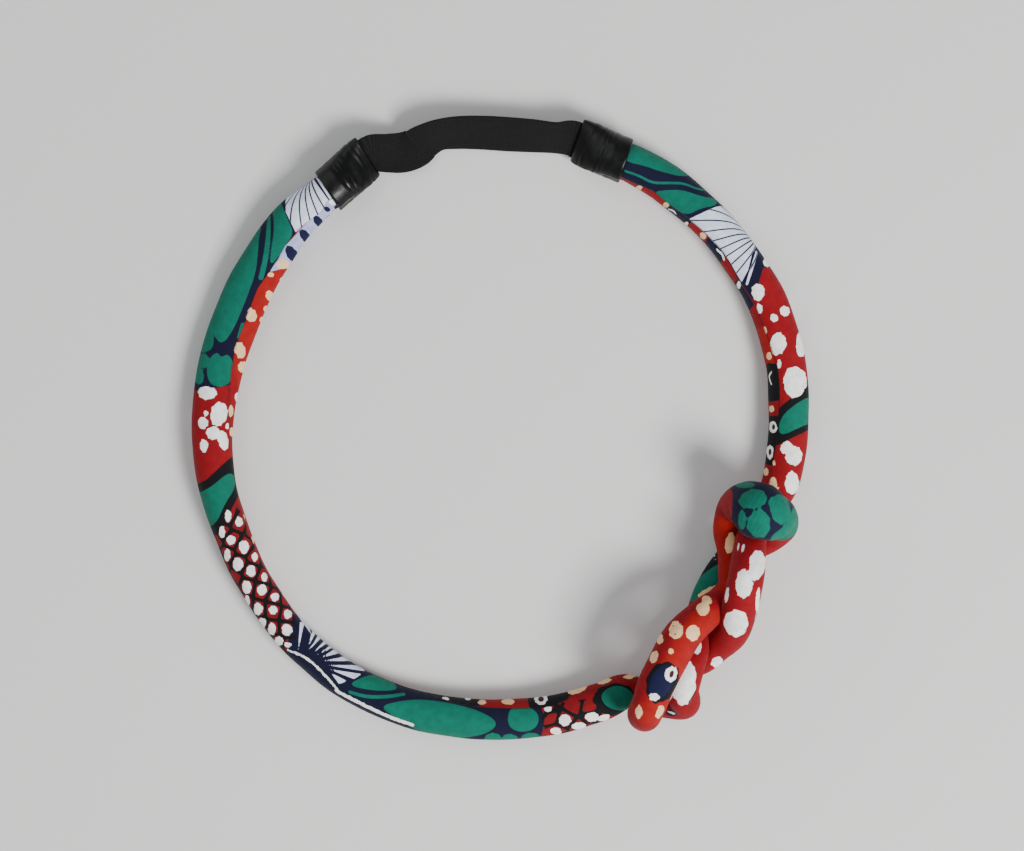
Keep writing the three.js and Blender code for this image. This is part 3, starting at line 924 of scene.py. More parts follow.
class PaddedTube:
    """The sewn cotton tube with its soft filler cord, from cap to cap, knot and all."""

    def __init__(self, form: TubeForm) -> None:
        """Lays the tube's route and works out its surface.

        Args:
            form: fineness and softness.
        """
        self.form = form
        self.route = route_through(self._rows(), self._step)
        share_turn(self.route)
        self.angles = section(len(self.route.centre), form.around)
        self.points = self._surface()

    def _step(self, row: Row) -> float:
        """Spacing of sections about a row.

        Args:
            row: the section that it follows.

        Returns:
            Millimetres, fewer where the tube bulges round a tight bend.
        """
        if not row.in_knot:
            return self.form.arm_step
        bulge = max(2 * row.half[0] / TUBE_DIAMETER, 1.0)
        return self.form.knot_step / bulge ** self.form.bulge_power

    @staticmethod
    def _arm(rows: Sequence[ArmRow], start: float, end: float) -> list[Row]:
        """Sections of a free arm.

        Args:
            rows: the arm's table.
            start: angle of its cap's mouth round the ring.
            end: angle where the knot begins.

        Returns:
            The sections, from the cap to the knot.
        """
        made = []
        for row in rows:
            height = 1 / row.breadth if row.breadth > 1 else row.breadth
            half = (TUBE_DIAMETER * row.breadth / 2, TUBE_DIAMETER * height / 2)
            raised = (CLEARANCE + CAP_WALL) * (1 - smoothstep(row.share, 0.0, SETTLED))
            place = polar(RING_RADIUS * row.radius, mix(start, end, row.share))
            made.append(
                Row(place + UP * (half[1] * REST_SHARE + raised), half, rests=row.share >= SETTLED)
            )
        return made

    @staticmethod
    def _grip(cap: CapForm) -> list[Row]:
        """Sections of the end that a cap holds.

        Args:
            cap: how the cap lies.

        Returns:
            The sections, from the tube's end to just outside the cap.
        """
        axis = cap_axis(cap)
        half = TUBE_DIAMETER * GRIP_BREADTH / 2
        places = (CAP_GRIP, CAP_GRIP / 2, 0.0, -SLOPE_GAP)
        return [Row(axis.mouth + axis.along * at, (half, half)) for at in places]

    @staticmethod
    def _knot() -> list[Row]:
        """Sections of the knot.

        Returns:
            The sections, from the left arm to the right arm.
        """
        middle = polar(RING_RADIUS, KNOT_ANGLE)
        out, onwards = polar(1.0, KNOT_ANGLE), polar(1.0, KNOT_ANGLE + 90)
        made = []
        for row in (row for passing in KNOT_PASSES.values() for row in passing):
            offset = onwards * row.along + out * row.out + UP * row.height
            half = TUBE_DIAMETER * row.girth / 2
            made.append(Row(middle + offset * TUBE_DIAMETER, (half, half), in_knot=True))
        return made

    def _rows(self) -> list[Row]:
        """All sections that the tube passes through.

        Returns:
            The sections, from the end in the left cap to the end in the right one.
        """
        knot = self._knot()
        left = self._arm(LEFT_ARM, LEFT_CAP.angle, angle_of(knot[0].point) + FULL_TURN)
        right = self._arm(RIGHT_ARM, RIGHT_CAP.angle, angle_of(knot[-1].point))
        ends = self._grip(LEFT_CAP), self._grip(RIGHT_CAP)[::-1]
        return [*ends[0], *left, *knot, *right[::-1], *ends[1]]

    def _surface(self) -> np.ndarray:
        """Sections with lumps, creases, pressed strands and a flattened underside.

        Returns:
            Points for each section, a row of them a section.
        """
        route = self.route
        x = np.cos(self.angles) * route.half[:, :1]
        y = np.sin(self.angles) * route.half[:, 1:]
        offset = x[..., None] * route.side[:, None] + y[..., None] * route.lift[:, None]
        outward = unit(offset)
        offset = offset + outward * (self._lumps() + self._creases(outward))[..., None]
        points = self._pressed_apart(offset)
        points[..., 2] = np.maximum(points[..., 2], 0.0)
        return points

    def _lumps(self) -> np.ndarray:
        """Slow swellings of the filler cord.

        Returns:
            How far each point stands out.
        """
        rng = np.random.default_rng(SEED)
        arc = self.route.arc[:, None]
        total = np.zeros_like(self.angles)
        for wave in range(1, self.form.lump_waves + 1):
            length = self.form.lump_length * rng.uniform(*self.form.lump_spread)
            phase, turns = rng.uniform(0, 2 * math.pi), rng.integers(0, 3)
            total += np.sin(2 * math.pi * arc / length + turns * self.angles + phase) / wave
        return total * self.form.lump / 2

    def _creases(self, outward: np.ndarray) -> np.ndarray:
        """Short folds across the inner side of each bend, deeper where it is tighter.

        Args:
            outward: direction of each point from its section's middle.

        Returns:
            How far each point stands out.
        """
        route, form = self.route, self.form
        arc = route.arc
        bend = np.gradient(route.tangent, arc, axis=0)
        inner = np.einsum("ijk,ik->ij", outward, bend) * route.half[:, :1]
        strength = smoothstep(inner, *form.crease_bend)
        rng = np.random.default_rng(SEED + 1)
        places = np.arange(0, arc[-1] + form.wander_step, form.wander_step)
        wander = np.interp(arc, places, rng.normal(0, form.wander, len(places)))
        phase = 2 * math.pi * arc / form.crease_length + wander
        slant = 0.5 * np.sin(2 * self.angles)
        fold = np.abs(np.sin(phase[:, None] / 2 + slant)) ** form.crease_power
        return form.crease * strength * (fold - form.crease_level)

    def _pressed_apart(self, offset: np.ndarray) -> np.ndarray:
        """Shares the room where two strands of the knot meet: a point gives way until it is no
        deeper in the other strand than in its own.

        Args:
            offset: each point from its section's middle.

        Returns:
            The points.
        """
        form = self.form
        route, arc = self.route, self.route.arc
        centre, girth = route.centre, route.half.mean(axis=1)
        knot = np.flatnonzero(route.in_knot)
        reach = range(max(knot[0] - form.press_margin, 0), min(knot[-1] + form.press_margin, len(centre)))
        scale = np.ones(offset.shape[:2])
        others = np.array(reach)
        for i in reach:
            far = others[np.abs(arc[others] - arc[i]) > form.apart]
            near = far[np.linalg.norm(centre[far] - centre[i], axis=1) < girth[far] + girth[i]]
            if not len(near):
                continue
            low, high = np.full(offset.shape[1], form.press_least), np.ones(offset.shape[1])
            held = self._depth(centre[i] + offset[i], near) < 1.0
            if not held.any():
                continue
            for _ in range(form.press_halvings):
                middle = (low + high) / 2
                depth = self._depth(centre[i] + offset[i] * middle[:, None], near)
                inside = depth < middle
                high = np.where(inside, middle, high)
                low = np.where(inside, low, middle)
            scale[i, held] = low[held] * form.press_gap
        return centre[:, None] + offset * scale[..., None]

    def _depth(self, points: np.ndarray, near: np.ndarray) -> np.ndarray:
        """How deep points are in other strands.

        Args:
            points: places in the ring's millimetres.
            near: numbers of the other strands' sections.

        Returns:
            Smallest distance to those sections' middles, as a share of their girth.
        """
        route = self.route
        girth = route.half.mean(axis=1)[near]
        gaps = np.linalg.norm(points[:, None] - route.centre[near][None], axis=2)
        return (gaps / girth).min(axis=1)

    def build(self) -> bpy.types.Object:
        """Makes the tube's mesh.

        Returns:
            The piece, which takes the place of the plain tube.
        """
        faces = grid_faces(len(self.points), self.form.around)
        made = make_mesh("padded_tube_cotton", self.points, faces)
        turn = np.arange(self.form.around + 1) / self.form.around * math.pi * TUBE_DIAMETER
        lay_cloth(made.data, self.route.arc, turn)
        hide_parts("padded_tube")
        return made


@dataclass(frozen=True)
class Sight:
    """The photo's camera, which the marks were read through, in millimetres round the ring's
    centre: its place over the floor, the size of a pixel there and the picture's middle."""

    eye: tuple[float, float, float]
    pixel: float
    middle: tuple[float, float] = (512.0, 425.5)

    def pixels(self, points: np.ndarray) -> np.ndarray:
        """Where points show in the photo.

        Args:
            points: places in the ring's millimetres.

        Returns:
            Their pixels.
        """
        spread = self.eye[2] / (self.eye[2] - points[..., 2]) / self.pixel
        x = self.middle[0] + (points[..., 0] - self.eye[0]) * spread
        y = self.middle[1] - (points[..., 1] - self.eye[1]) * spread
        return np.stack([x, y], axis=-1)


def wrapped(angles: Number) -> Number:
    """Angles brought between minus and plus half a turn."""
    return (angles + math.pi) % (2 * math.pi) - math.pi


# How far along each side its corner is cut off
CORNER_CUT = 0.25


def rounded_outline(points: np.ndarray, passes: int = 2) -> np.ndarray:
    """An outline with its corners cut again and again until it is smooth.

    Args:
        points: its corners.
        passes: how often they are cut.

    Returns:
        The smooth outline.
    """
    for _ in range(passes):
        after = np.roll(points, -1, axis=0)
        cut = [mix(points, after, CORNER_CUT), mix(points, after, 1 - CORNER_CUT)]
        points = np.stack(cut, 1).reshape(-1, 2)
    return points


def rounded_line(points: np.ndarray, passes: int = 2) -> np.ndarray:
    """An open line with its corners cut again and again until it is smooth.

    Args:
        points: its corners and ends.
        passes: how often they are cut.

    Returns:
        The smooth line, with its ends kept.
    """
    for _ in range(passes):
        here, after = points[:-1], points[1:]
        cut = np.stack([mix(here, after, CORNER_CUT), mix(here, after, 1 - CORNER_CUT)], 1)
        points = np.vstack([points[:1], cut.reshape(-1, 2), points[-1:]])
    return points


def divided(points: np.ndarray, longest: float, closed: bool = True) -> np.ndarray:
    """A line with points added.

    Args:
        points: its corners.
        longest: greatest length of a piece.
        closed: whether its end joins its start.

    Returns:
        The same line in short pieces.
    """
    ends = np.roll(points, -1, axis=0) if closed else points[1:]
    made = []
    for start, end in zip(points, ends):
        count = max(1, math.ceil(np.linalg.norm(end - start) / longest))
        made.append(mix(start, end, np.arange(count)[:, None] / count))
    if not closed:
        made.append(points[-1:])
    return np.vstack(made)


def depth_inside(places: np.ndarray, outline: np.ndarray) -> np.ndarray:
    """Distance inside an outline.

    Args:
        places: points to measure from.
        outline: corners of the outline.

    Returns:
        The distance to it, below 0 outside.
    """
    inside = np.zeros(len(places), bool)
    nearest = np.full(len(places), np.inf)
    for start, end in zip(outline, np.roll(outline, -1, axis=0)):
        nearest = np.minimum(nearest, gap_to_piece(places, start, end))
        rises = (start[1] > places[:, 1]) != (end[1] > places[:, 1])
        if start[1] != end[1]:
            cross = start[0] + (places[:, 1] - start[1]) * (end[0] - start[0]) / (end[1] - start[1])
            inside ^= rises & (places[:, 0] < cross)
    return np.where(inside, nearest, -nearest)


def gap_to_piece(places: np.ndarray, start: np.ndarray, end: np.ndarray) -> np.ndarray:
    """Distance to one straight piece of a line.

    Args:
        places: points to measure from.
        start, end: ends of the piece.

    Returns:
        The distance of each point.
    """
    run = end - start
    share = np.clip((places - start) @ run / max(run @ run, TINY), 0.0, 1.0)
    return np.linalg.norm(places - start - share[:, None] * run, axis=1)


class PrintPainter:
    """Lays the charted marks on the tube as depth fields, a number for each vertex that is above 0
    inside the marks of an ink. The shader turns each field into a crisp edge."""

    # Depth away from every mark, which also bounds the numbers on the mesh, in millimetres
    OUTSIDE = -3.0
    # Waves round a spot's edge, each with its height as a share of the spot's radius
    SCALLOPS = ((3, 0.03), (8, 0.045), (13, 0.03))
    # Corners of a spot, and its least size in pixels for those waves to be drawn
    SPOT_CORNERS = 32
    RAGGED_FROM = 6
    # Longest piece of an outline and of a stroke, in pixels
    OUTLINE_PIECE = 6.0
    STROKE_PIECE = 4.0
    # Points across the visible half of a section, to look pixels up by
    ACROSS = 41
    # How far a pixel may lie from the nearest of them, in cells, at the edge and elsewhere
    EDGE_STRAY = 0.5
    INNER_STRAY = 0.7
    # Least spacing of sections that such a cell is taken to have, in millimetres
    LEAST_SPACING = 0.3
    # Length of tube looked at past a mark's ends, in millimetres
    MARGIN = 2
    # How far marks pass the seam, in millimetres
    SEAM_LAP = 0.12
    # How far the rays are worked out, as a share of the fan's own length
    FAN_ROOM = 1.6
    # Least spacing of the black net's dots and how far its lines go from one, as a share of it
    CELL = 3.6
    NET_REACH = 1.1
    # Steps from a charted dot to dots out of sight: along the tube, and round it in degrees
    NET_SHIFT = 2.6
    NET_TURNS = (100, 150, 200, 250)
    # Widest gap from the wine ground at which a section is still netted, in millimetres
    NET_MARGIN = 1
    # How far sprinkled spots stray round the tube in radians and along it in millimetres, their
    # sizes as shares of the asked one, and the room they keep from a mark
    STRAY_ROUND = 1.15
    STRAY_ALONG = 2
    SPRINKLE_SIZES = (0.6, 1.1)
    SPRINKLE_ROOM = 0.3

    def __init__(self, tube: PaddedTube, sight: Sight) -> None:
        """Begins with an unprinted tube.

        Args:
            tube: what is printed.
            sight: how the photo's camera sees it.
        """
        self.tube = tube
        self.route = tube.route
        self.sight = sight
        self.arc = tube.route.arc
        self.angles = tube.angles
        self.girth = tube.route.half.mean(axis=1)
        shape = tube.angles.shape
        self.fields = {ink: np.full(shape, self.OUTSIDE) for ink in Ink}
        self.fan_phase = np.zeros(shape)
        self.fan_reach = np.ones(shape)
        self.fan_drawn = np.zeros(shape)
        self.seam_gap = np.full(shape, self.OUTSIDE)
        eye = np.array(sight.eye) - self.route.centre
        self.facing = np.arctan2(
            (eye * self.route.lift).sum(axis=1), (eye * self.route.side).sum(axis=1)
        )

    def stations(self, stretch: Stretch) -> np.ndarray:
        """Numbers of the route's sections that a stretch runs over."""
        row = self.route.row
        return np.flatnonzero((row >= stretch.start) & (row <= stretch.end))

    def _net(self, stations: np.ndarray) -> tuple[np.ndarray, np.ndarray]:
        """A net of points on the visible half of some sections.

        Args:
            stations: numbers of the sections.

        Returns:
            The pixels of its points, and their turns from the middle of what shows.
        """
        turns = np.linspace(-math.pi / 2, math.pi / 2, self.ACROSS)
        angle = self.facing[stations][:, None] + turns
        half = self.route.half[stations]
        x = np.cos(angle) * half[:, :1]
        y = np.sin(angle) * half[:, 1:]
        points = self.route.centre[stations][:, None] + x[..., None] * self.route.side[stations][:, None]
        points = points + y[..., None] * self.route.lift[stations][:, None]
        return self.sight.pixels(points), turns

    def locate(self, stretch: Stretch, marks: Sequence[Sequence[float]]) -> np.ndarray:
        """Finds where photo pixels lie on the tube.

        Args:
            stretch: the run of the tube that they are on.
            marks: pixels, which may lie past the edge that shows and are then wrapped round it.

        Returns:
            Length along the tube and angle round it, a row for each pixel.
        """
        stations = self.stations(stretch)
        net, turns = self._net(stations)
        pixels = np.atleast_2d(np.array(marks, float))
        flat = net.reshape(-1, 2)
        nearest = ((pixels[:, None] - flat[None]) ** 2).sum(axis=2).argmin(axis=1)
        rows, columns = np.divmod(nearest, self.ACROSS)
        found = np.empty((len(pixels), 2))
        last = len(stations) - 1
        step = turns[1] - turns[0]
        for k, (i, j) in enumerate(zip(rows, columns)):
            low, high = max(i - 1, 0), min(i + 1, last)
            onward = (net[high, j] - net[low, j]) / (high - low)
            rest = pixels[k] - net[i, j]
            station = stations[i]
            if j in (0, self.ACROSS - 1):
                outward = net[i, j] - net[i, self.ACROSS // 2]
                outward = outward / np.linalg.norm(outward)
                past = rest @ outward
                ahead = (rest @ onward) / (onward @ onward)
                ahead = float(np.clip(ahead, -self.EDGE_STRAY, self.EDGE_STRAY))
                turn = past * self.sight.pixel / self.girth[station]
                if past < 0:
                    turn = -math.acos(max(1.0 + turn, -1.0))
                angle = turns[j] + math.copysign(1.0, turns[j]) * turn
            else:
                across = (net[i, j + 1] - net[i, j - 1]) / 2
                ahead, aside = np.linalg.lstsq(np.stack([onward, across], 1), rest, rcond=None)[0]
                ahead, aside = np.clip([ahead, aside], -self.INNER_STRAY, self.INNER_STRAY)
                angle = turns[j] + aside * step
            if i in (0, last):
                beyond = float((rest @ onward) / (onward @ onward))
                ahead = min(beyond, 0.0) if i == 0 else max(beyond, 0.0)
            spacing = self.arc[min(station + 1, len(self.arc) - 1)] - self.arc[station]
            length = self.arc[station] + ahead * max(spacing, self.LEAST_SPACING)
            found[k] = length, self.facing[station] + angle
        return found

    def _flat(self, places: np.ndarray, about: np.ndarray, girth: float) -> np.ndarray:
        """Places on the tube laid flat.

        Args:
            places: length along the tube and angle round it of each.
            about: the place that comes to lie at the middle.
            girth: the tube's radius there.

        Returns:
            Where they lie on the flat, in millimetres.
        """
        turns = places[:, 1] - about[1]
        return np.stack([places[:, 0] - about[0], turns * girth], axis=1)

    def _near(
        self, stations: np.ndarray, low: float, high: float, about: np.ndarray, girth: float
    ) -> tuple[np.ndarray, np.ndarray]:
        """The vertices of some sections between two lengths.

        Args:
            stations: numbers of the sections to pick from.
            low, high: the lengths along the tube.
            about: the place that comes to lie at the middle of the flat.
            girth: the tube's radius there.

        Returns:
            Numbers of the sections picked, and where their vertices lie on the flat.
        """
        arc = self.arc[stations]
        kept = stations[(arc > low - self.MARGIN) & (arc < high + self.MARGIN)]
        turns = wrapped(self.angles[kept] - about[1]) * girth
        run = np.repeat((self.arc[kept] - about[0])[:, None], turns.shape[1], axis=1)
        return kept, np.stack([run, turns], axis=-1).reshape(-1, 2)

    def _outline(self, mark: Spot | Patch) -> np.ndarray:
        """A mark's outline.

        Args:
            mark: a patch, or a spot, whose edge is made a little ragged unless it is small.

        Returns:
            Its corners in photo pixels.
        """
        if isinstance(mark, Patch):
            points = np.array(mark.outline, float)
            return divided(points if mark.sharp else rounded_outline(points), self.OUTLINE_PIECE)
        turn = np.linspace(0, 2 * math.pi, self.SPOT_CORNERS + 1)[:-1]
        ragged = 1 + sum(
            depth * np.sin(count * turn + mark.x * count + mark.y) for count, depth in self.SCALLOPS
        )
        ragged = ragged if min(mark.wide, mark.high) > self.RAGGED_FROM else 1.0
        x, y = np.cos(turn) * mark.wide / 2 * ragged, np.sin(turn) * mark.high / 2 * ragged
        tilt = math.radians(mark.turn)
        return np.stack([
            mark.x + x * math.cos(tilt) - y * math.sin(tilt),
            mark.y + x * math.sin(tilt) + y * math.cos(tilt),
        ], axis=1)

    def mark_depth(self, stretch: Stretch, mark: Mark) -> tuple[np.ndarray, np.ndarray]:
        """Depth inside a mark at the vertices near it.

        Args:
            stretch: the run of the tube that it is on.
            mark: what is drawn.

        Returns:
            Numbers of the sections, and the depth at each of their vertices.
        """
        stations = self.stations(stretch)
        if stretch.cast:
            return stations, self._cast_depth(stations, mark)
        if isinstance(mark, Stroke):
            line = rounded_line(np.array(mark.line, float))
            places = self.locate(stretch, divided(line, self.STROKE_PIECE, closed=False))
        else:
            places = self.locate(stretch, self._outline(mark))
        places[:, 1] = np.unwrap(places[:, 1])
        about = places.mean(axis=0)
        girth = float(np.interp(about[0], self.arc, self.girth))
        outline = self._flat(places, about, girth)
        kept, flat = self._near(stations, places[:, 0].min(), places[:, 0].max(), about, girth)
        if isinstance(mark, Stroke):
            gaps = [gap_to_piece(flat, a, b) for a, b in zip(outline[:-1], outline[1:])]
            depth = mark.wide * self.sight.pixel / 2 - np.min(gaps, axis=0)
        else:
            depth = depth_inside(flat, outline)
        return kept, depth.reshape(len(kept), -1)

    def _cast_depth(self, stations: np.ndarray, mark: Spot | Patch) -> np.ndarray:
        """Depth inside a mark that drops straight on the side that shows.

        Args:
            stations: numbers of the sections that it may fall on.
            mark: what is drawn.

        Returns:
            The depth at each of their vertices.
        """
        seen = self.sight.pixels(self.tube.points[stations]).reshape(-1, 2) * self.sight.pixel
        depth = depth_inside(seen, self._outline(mark) * self.sight.pixel)
        turned = np.abs(wrapped(self.angles[stations] - self.facing[stations][:, None]))
        return np.where(turned < math.pi / 2, depth.reshape(turned.shape), self.OUTSIDE)

    def _side_depth(self, stretch: Stretch, front: bool) -> np.ndarray | None:
        """Distance to the seam, which keeps the marks of one side off the other.

        Args:
            stretch: the run of the tube.
            front: whether the marks are on the outer side of the ring.

        Returns:
            The distance at every vertex of the tube, or None where no seam is charted.
        """
        if not stretch.seam:
            return None
        places = self.locate(stretch, stretch.seam)
        order = np.argsort(places[:, 0])
        seam = np.interp(self.arc, places[order, 0], np.unwrap(places[order, 1]))
        past = (self.angles - seam[:, None]) * self.girth[:, None]
        stations = self.stations(stretch)
        self.seam_gap[stations] = np.clip(past[stations], self.OUTSIDE, -self.OUTSIDE)
        room = (np.radians(SECTION_START + FULL_TURN) - self.angles) * self.girth[:, None]
        before = (self.angles - np.radians(SECTION_START)) * self.girth[:, None]
        lapped = self.SEAM_LAP - past
        return np.minimum(past + self.SEAM_LAP, room) if front else np.minimum(lapped, before)

    def paint(self, stretch: Stretch) -> None:
        """Draws all marks of a stretch."""
        for marks, front in ((stretch.front, True), (stretch.inner, False)):
            side = self._side_depth(stretch, front)
            for mark in marks:
                kept, depth = self.mark_depth(stretch, mark)
                if side is not None:
                    depth = np.minimum(depth, side[kept])
                layer = self.fields[mark.ink]
                layer[kept] = np.maximum(layer[kept], depth)
        if stretch.fan:
            self._spread(stretch, stretch.fan)

    def _spread(self, stretch: Stretch, fan: Fan) -> None:
        """Counts the rays of a fan round its point, and their spacing at each vertex.

        Args:
            stretch: the run of the tube that it is on.
            fan: its point, its first and last ray, and their number.
        """
        places = self.locate(stretch, [fan.apex, fan.first, fan.last])
        places[:, 1] = np.unwrap(places[:, 1])
        about = places[0]
        girth = float(np.interp(about[0], self.arc, self.girth))
        _, first, last = self._flat(places, about, girth)
        length = np.linalg.norm(first) * self.FAN_ROOM
        stations = self.stations(stretch)
        kept, flat = self._near(stations, about[0] - length, about[0] + length, about, girth)
        start = math.atan2(first[1], first[0])
        sweep = wrapped(math.atan2(last[1], last[0]) - start)
        turned = wrapped(np.arctan2(flat[:, 1], flat[:, 0]) - start - sweep / 2) + sweep / 2
        shape = (len(kept), -1)
        self.fan_phase[kept] = (turned / sweep * fan.steps).reshape(shape)
        reach = np.linalg.norm(flat, axis=1) * abs(sweep) / fan.steps
        self.fan_reach[kept] = reach.reshape(shape)
        self.fan_drawn[kept] = 1.0

    def lattice(self, stretch: Stretch, dots: Pixels, thread: float = 1.0) -> None:
        """Draws black lines midway between neighbouring dots of the wine-coloured ground.

        Args:
            stretch: the run of the tube that they are on.
            dots: their places in photo pixels.
            thread: breadth of the lines, in millimetres.
        """
        places = self.locate(stretch, dots)
        girth = float(np.interp(places[:, 0].mean(), self.arc, self.girth))
        shifts = [np.array([self.NET_SHIFT, math.radians(turn)]) for turn in self.NET_TURNS]
        for copy in [place + shift for shift in shifts for place in places]:
            apart = np.hypot(copy[0] - places[:, 0], wrapped(copy[1] - places[:, 1]) * girth)
            if apart.min() > self.CELL:
                places = np.vstack([places, copy])
        stations = self.stations(stretch)
        kept = stations[(self.fields[Ink.WINE][stations] > -self.NET_MARGIN).any(axis=1)]
        run = self.arc[kept][:, None, None] - places[:, 0]
        turn = wrapped(self.angles[kept][..., None] - places[:, 1]) * girth
        gaps = np.sort(np.hypot(run, turn), axis=-1)
        net = (thread - (gaps[..., 1] - gaps[..., 0])) / 2
        net = np.minimum(net, self.CELL * self.NET_REACH - gaps[..., 0])
        net = np.minimum(net, self.fields[Ink.WINE][kept])
        self.fields[Ink.BLACK][kept] = np.maximum(self.fields[Ink.BLACK][kept], net)

    def sprinkle(self, every: float = 8.5, size: float = 4.6) -> None:
        """Scatters white spots over the red that the photo doesn't show.

        Args:
            every: length of tube for two spots, in millimetres.
            size: their usual breadth, in millimetres.
        """
        rng = np.random.default_rng(SEED + 2)
        taken = [self.fields[ink] for ink in Ink]
        for place in np.arange(self.arc[0] + every, self.arc[-1] - every, every / 2):
            station = int(np.searchsorted(self.arc, place))
            turn = rng.uniform(-self.STRAY_ROUND, self.STRAY_ROUND)
            turn = self.facing[station] + math.pi + turn
            about = np.array([place + rng.uniform(-self.STRAY_ALONG, self.STRAY_ALONG), turn])
            radius = size / 2 * rng.uniform(*self.SPRINKLE_SIZES)
            girth = self.girth[station]
            everywhere = np.arange(len(self.arc))
            kept, flat = self._near(everywhere, about[0] - radius, about[0] + radius, about, girth)
            shape = (len(kept), -1)
            inside = (np.hypot(flat[:, 0], flat[:, 1]) < radius + 1).reshape(shape)
            if any((layer[kept][inside] > -self.SPRINKLE_ROOM).any() for layer in taken):
                continue
            bearing = np.arctan2(flat[:, 1], flat[:, 0])
            ragged = 1 + sum(
                depth * np.sin(count * bearing + place) for count, depth in self.SCALLOPS
            )
            depth = (radius * ragged - np.hypot(flat[:, 0], flat[:, 1])).reshape(shape)
            layer = self.fields[Ink.WHITE]
            layer[kept] = np.maximum(layer[kept], depth)

    def store(self, mesh: bpy.types.Mesh) -> None:
        """Writes the fields, the fans' rays and the distance to the seam on the mesh."""
        for ink, layer in self.fields.items():
            store_numbers(mesh, ink.label, np.clip(layer, self.OUTSIDE, -self.OUTSIDE))
        store_numbers(mesh, "fan_phase", self.fan_phase)
        store_numbers(mesh, "fan_reach", self.fan_reach)
        store_numbers(mesh, "fan_drawn", self.fan_drawn)
        store_numbers(mesh, "seam_gap", self.seam_gap)


@dataclass
class CapSurface:
    """Fineness and handwork of a leather cap.

    Attributes:
        steps, around, lip_steps: divisions along it, round it and round its cut edges.
        wall: thickness of the leather, pressed thin by hand.
        wrinkle: depth of the wrinkles across it.
        wrinkles: how many of them there are along it.
        lap_step: height of the step where the leather laps over itself.
        lap_angle: how far over the ring's side of the cap that step runs, in degrees.
        pull_start: share of its length where the leather starts to narrow.
        wrinkle_rise, wrinkle_fall: shares of its length where wrinkles come and go.
        wrinkle_sway: how far a wrinkle bends on its way round, in radians.
        wrinkle_uneven: how far wrinkles stray along it and how fast that changes, in radians.
        wrinkle_twist: how far they turn round it from end to end, in radians.
        lap_rise, lap_fall: radians past the lap where the step comes up and dies away.
        calm: share of its length without handwork at both ends.
    """

    steps: int = 90
    around: int = 120
    lip_steps: int = 6
    wall: float = 0.95
    wrinkle: float = 0.09
    wrinkles: float = 8.0
    lap_step: float = 0.3
    lap_angle: float = 24.0
    pull_start: float = 0.3
    wrinkle_rise: tuple[float, float] = (0.08, 0.3)
    wrinkle_fall: tuple[float, float] = (0.8, 0.97)
    wrinkle_sway: float = 1.3
    wrinkle_uneven: tuple[float, float] = (1.9, 14.0)
    wrinkle_twist: float = 7.0
    lap_rise: tuple[float, float] = (-0.06, 0.06)
    lap_fall: tuple[float, float] = (0.1, 1.6)
    calm: float = 0.06


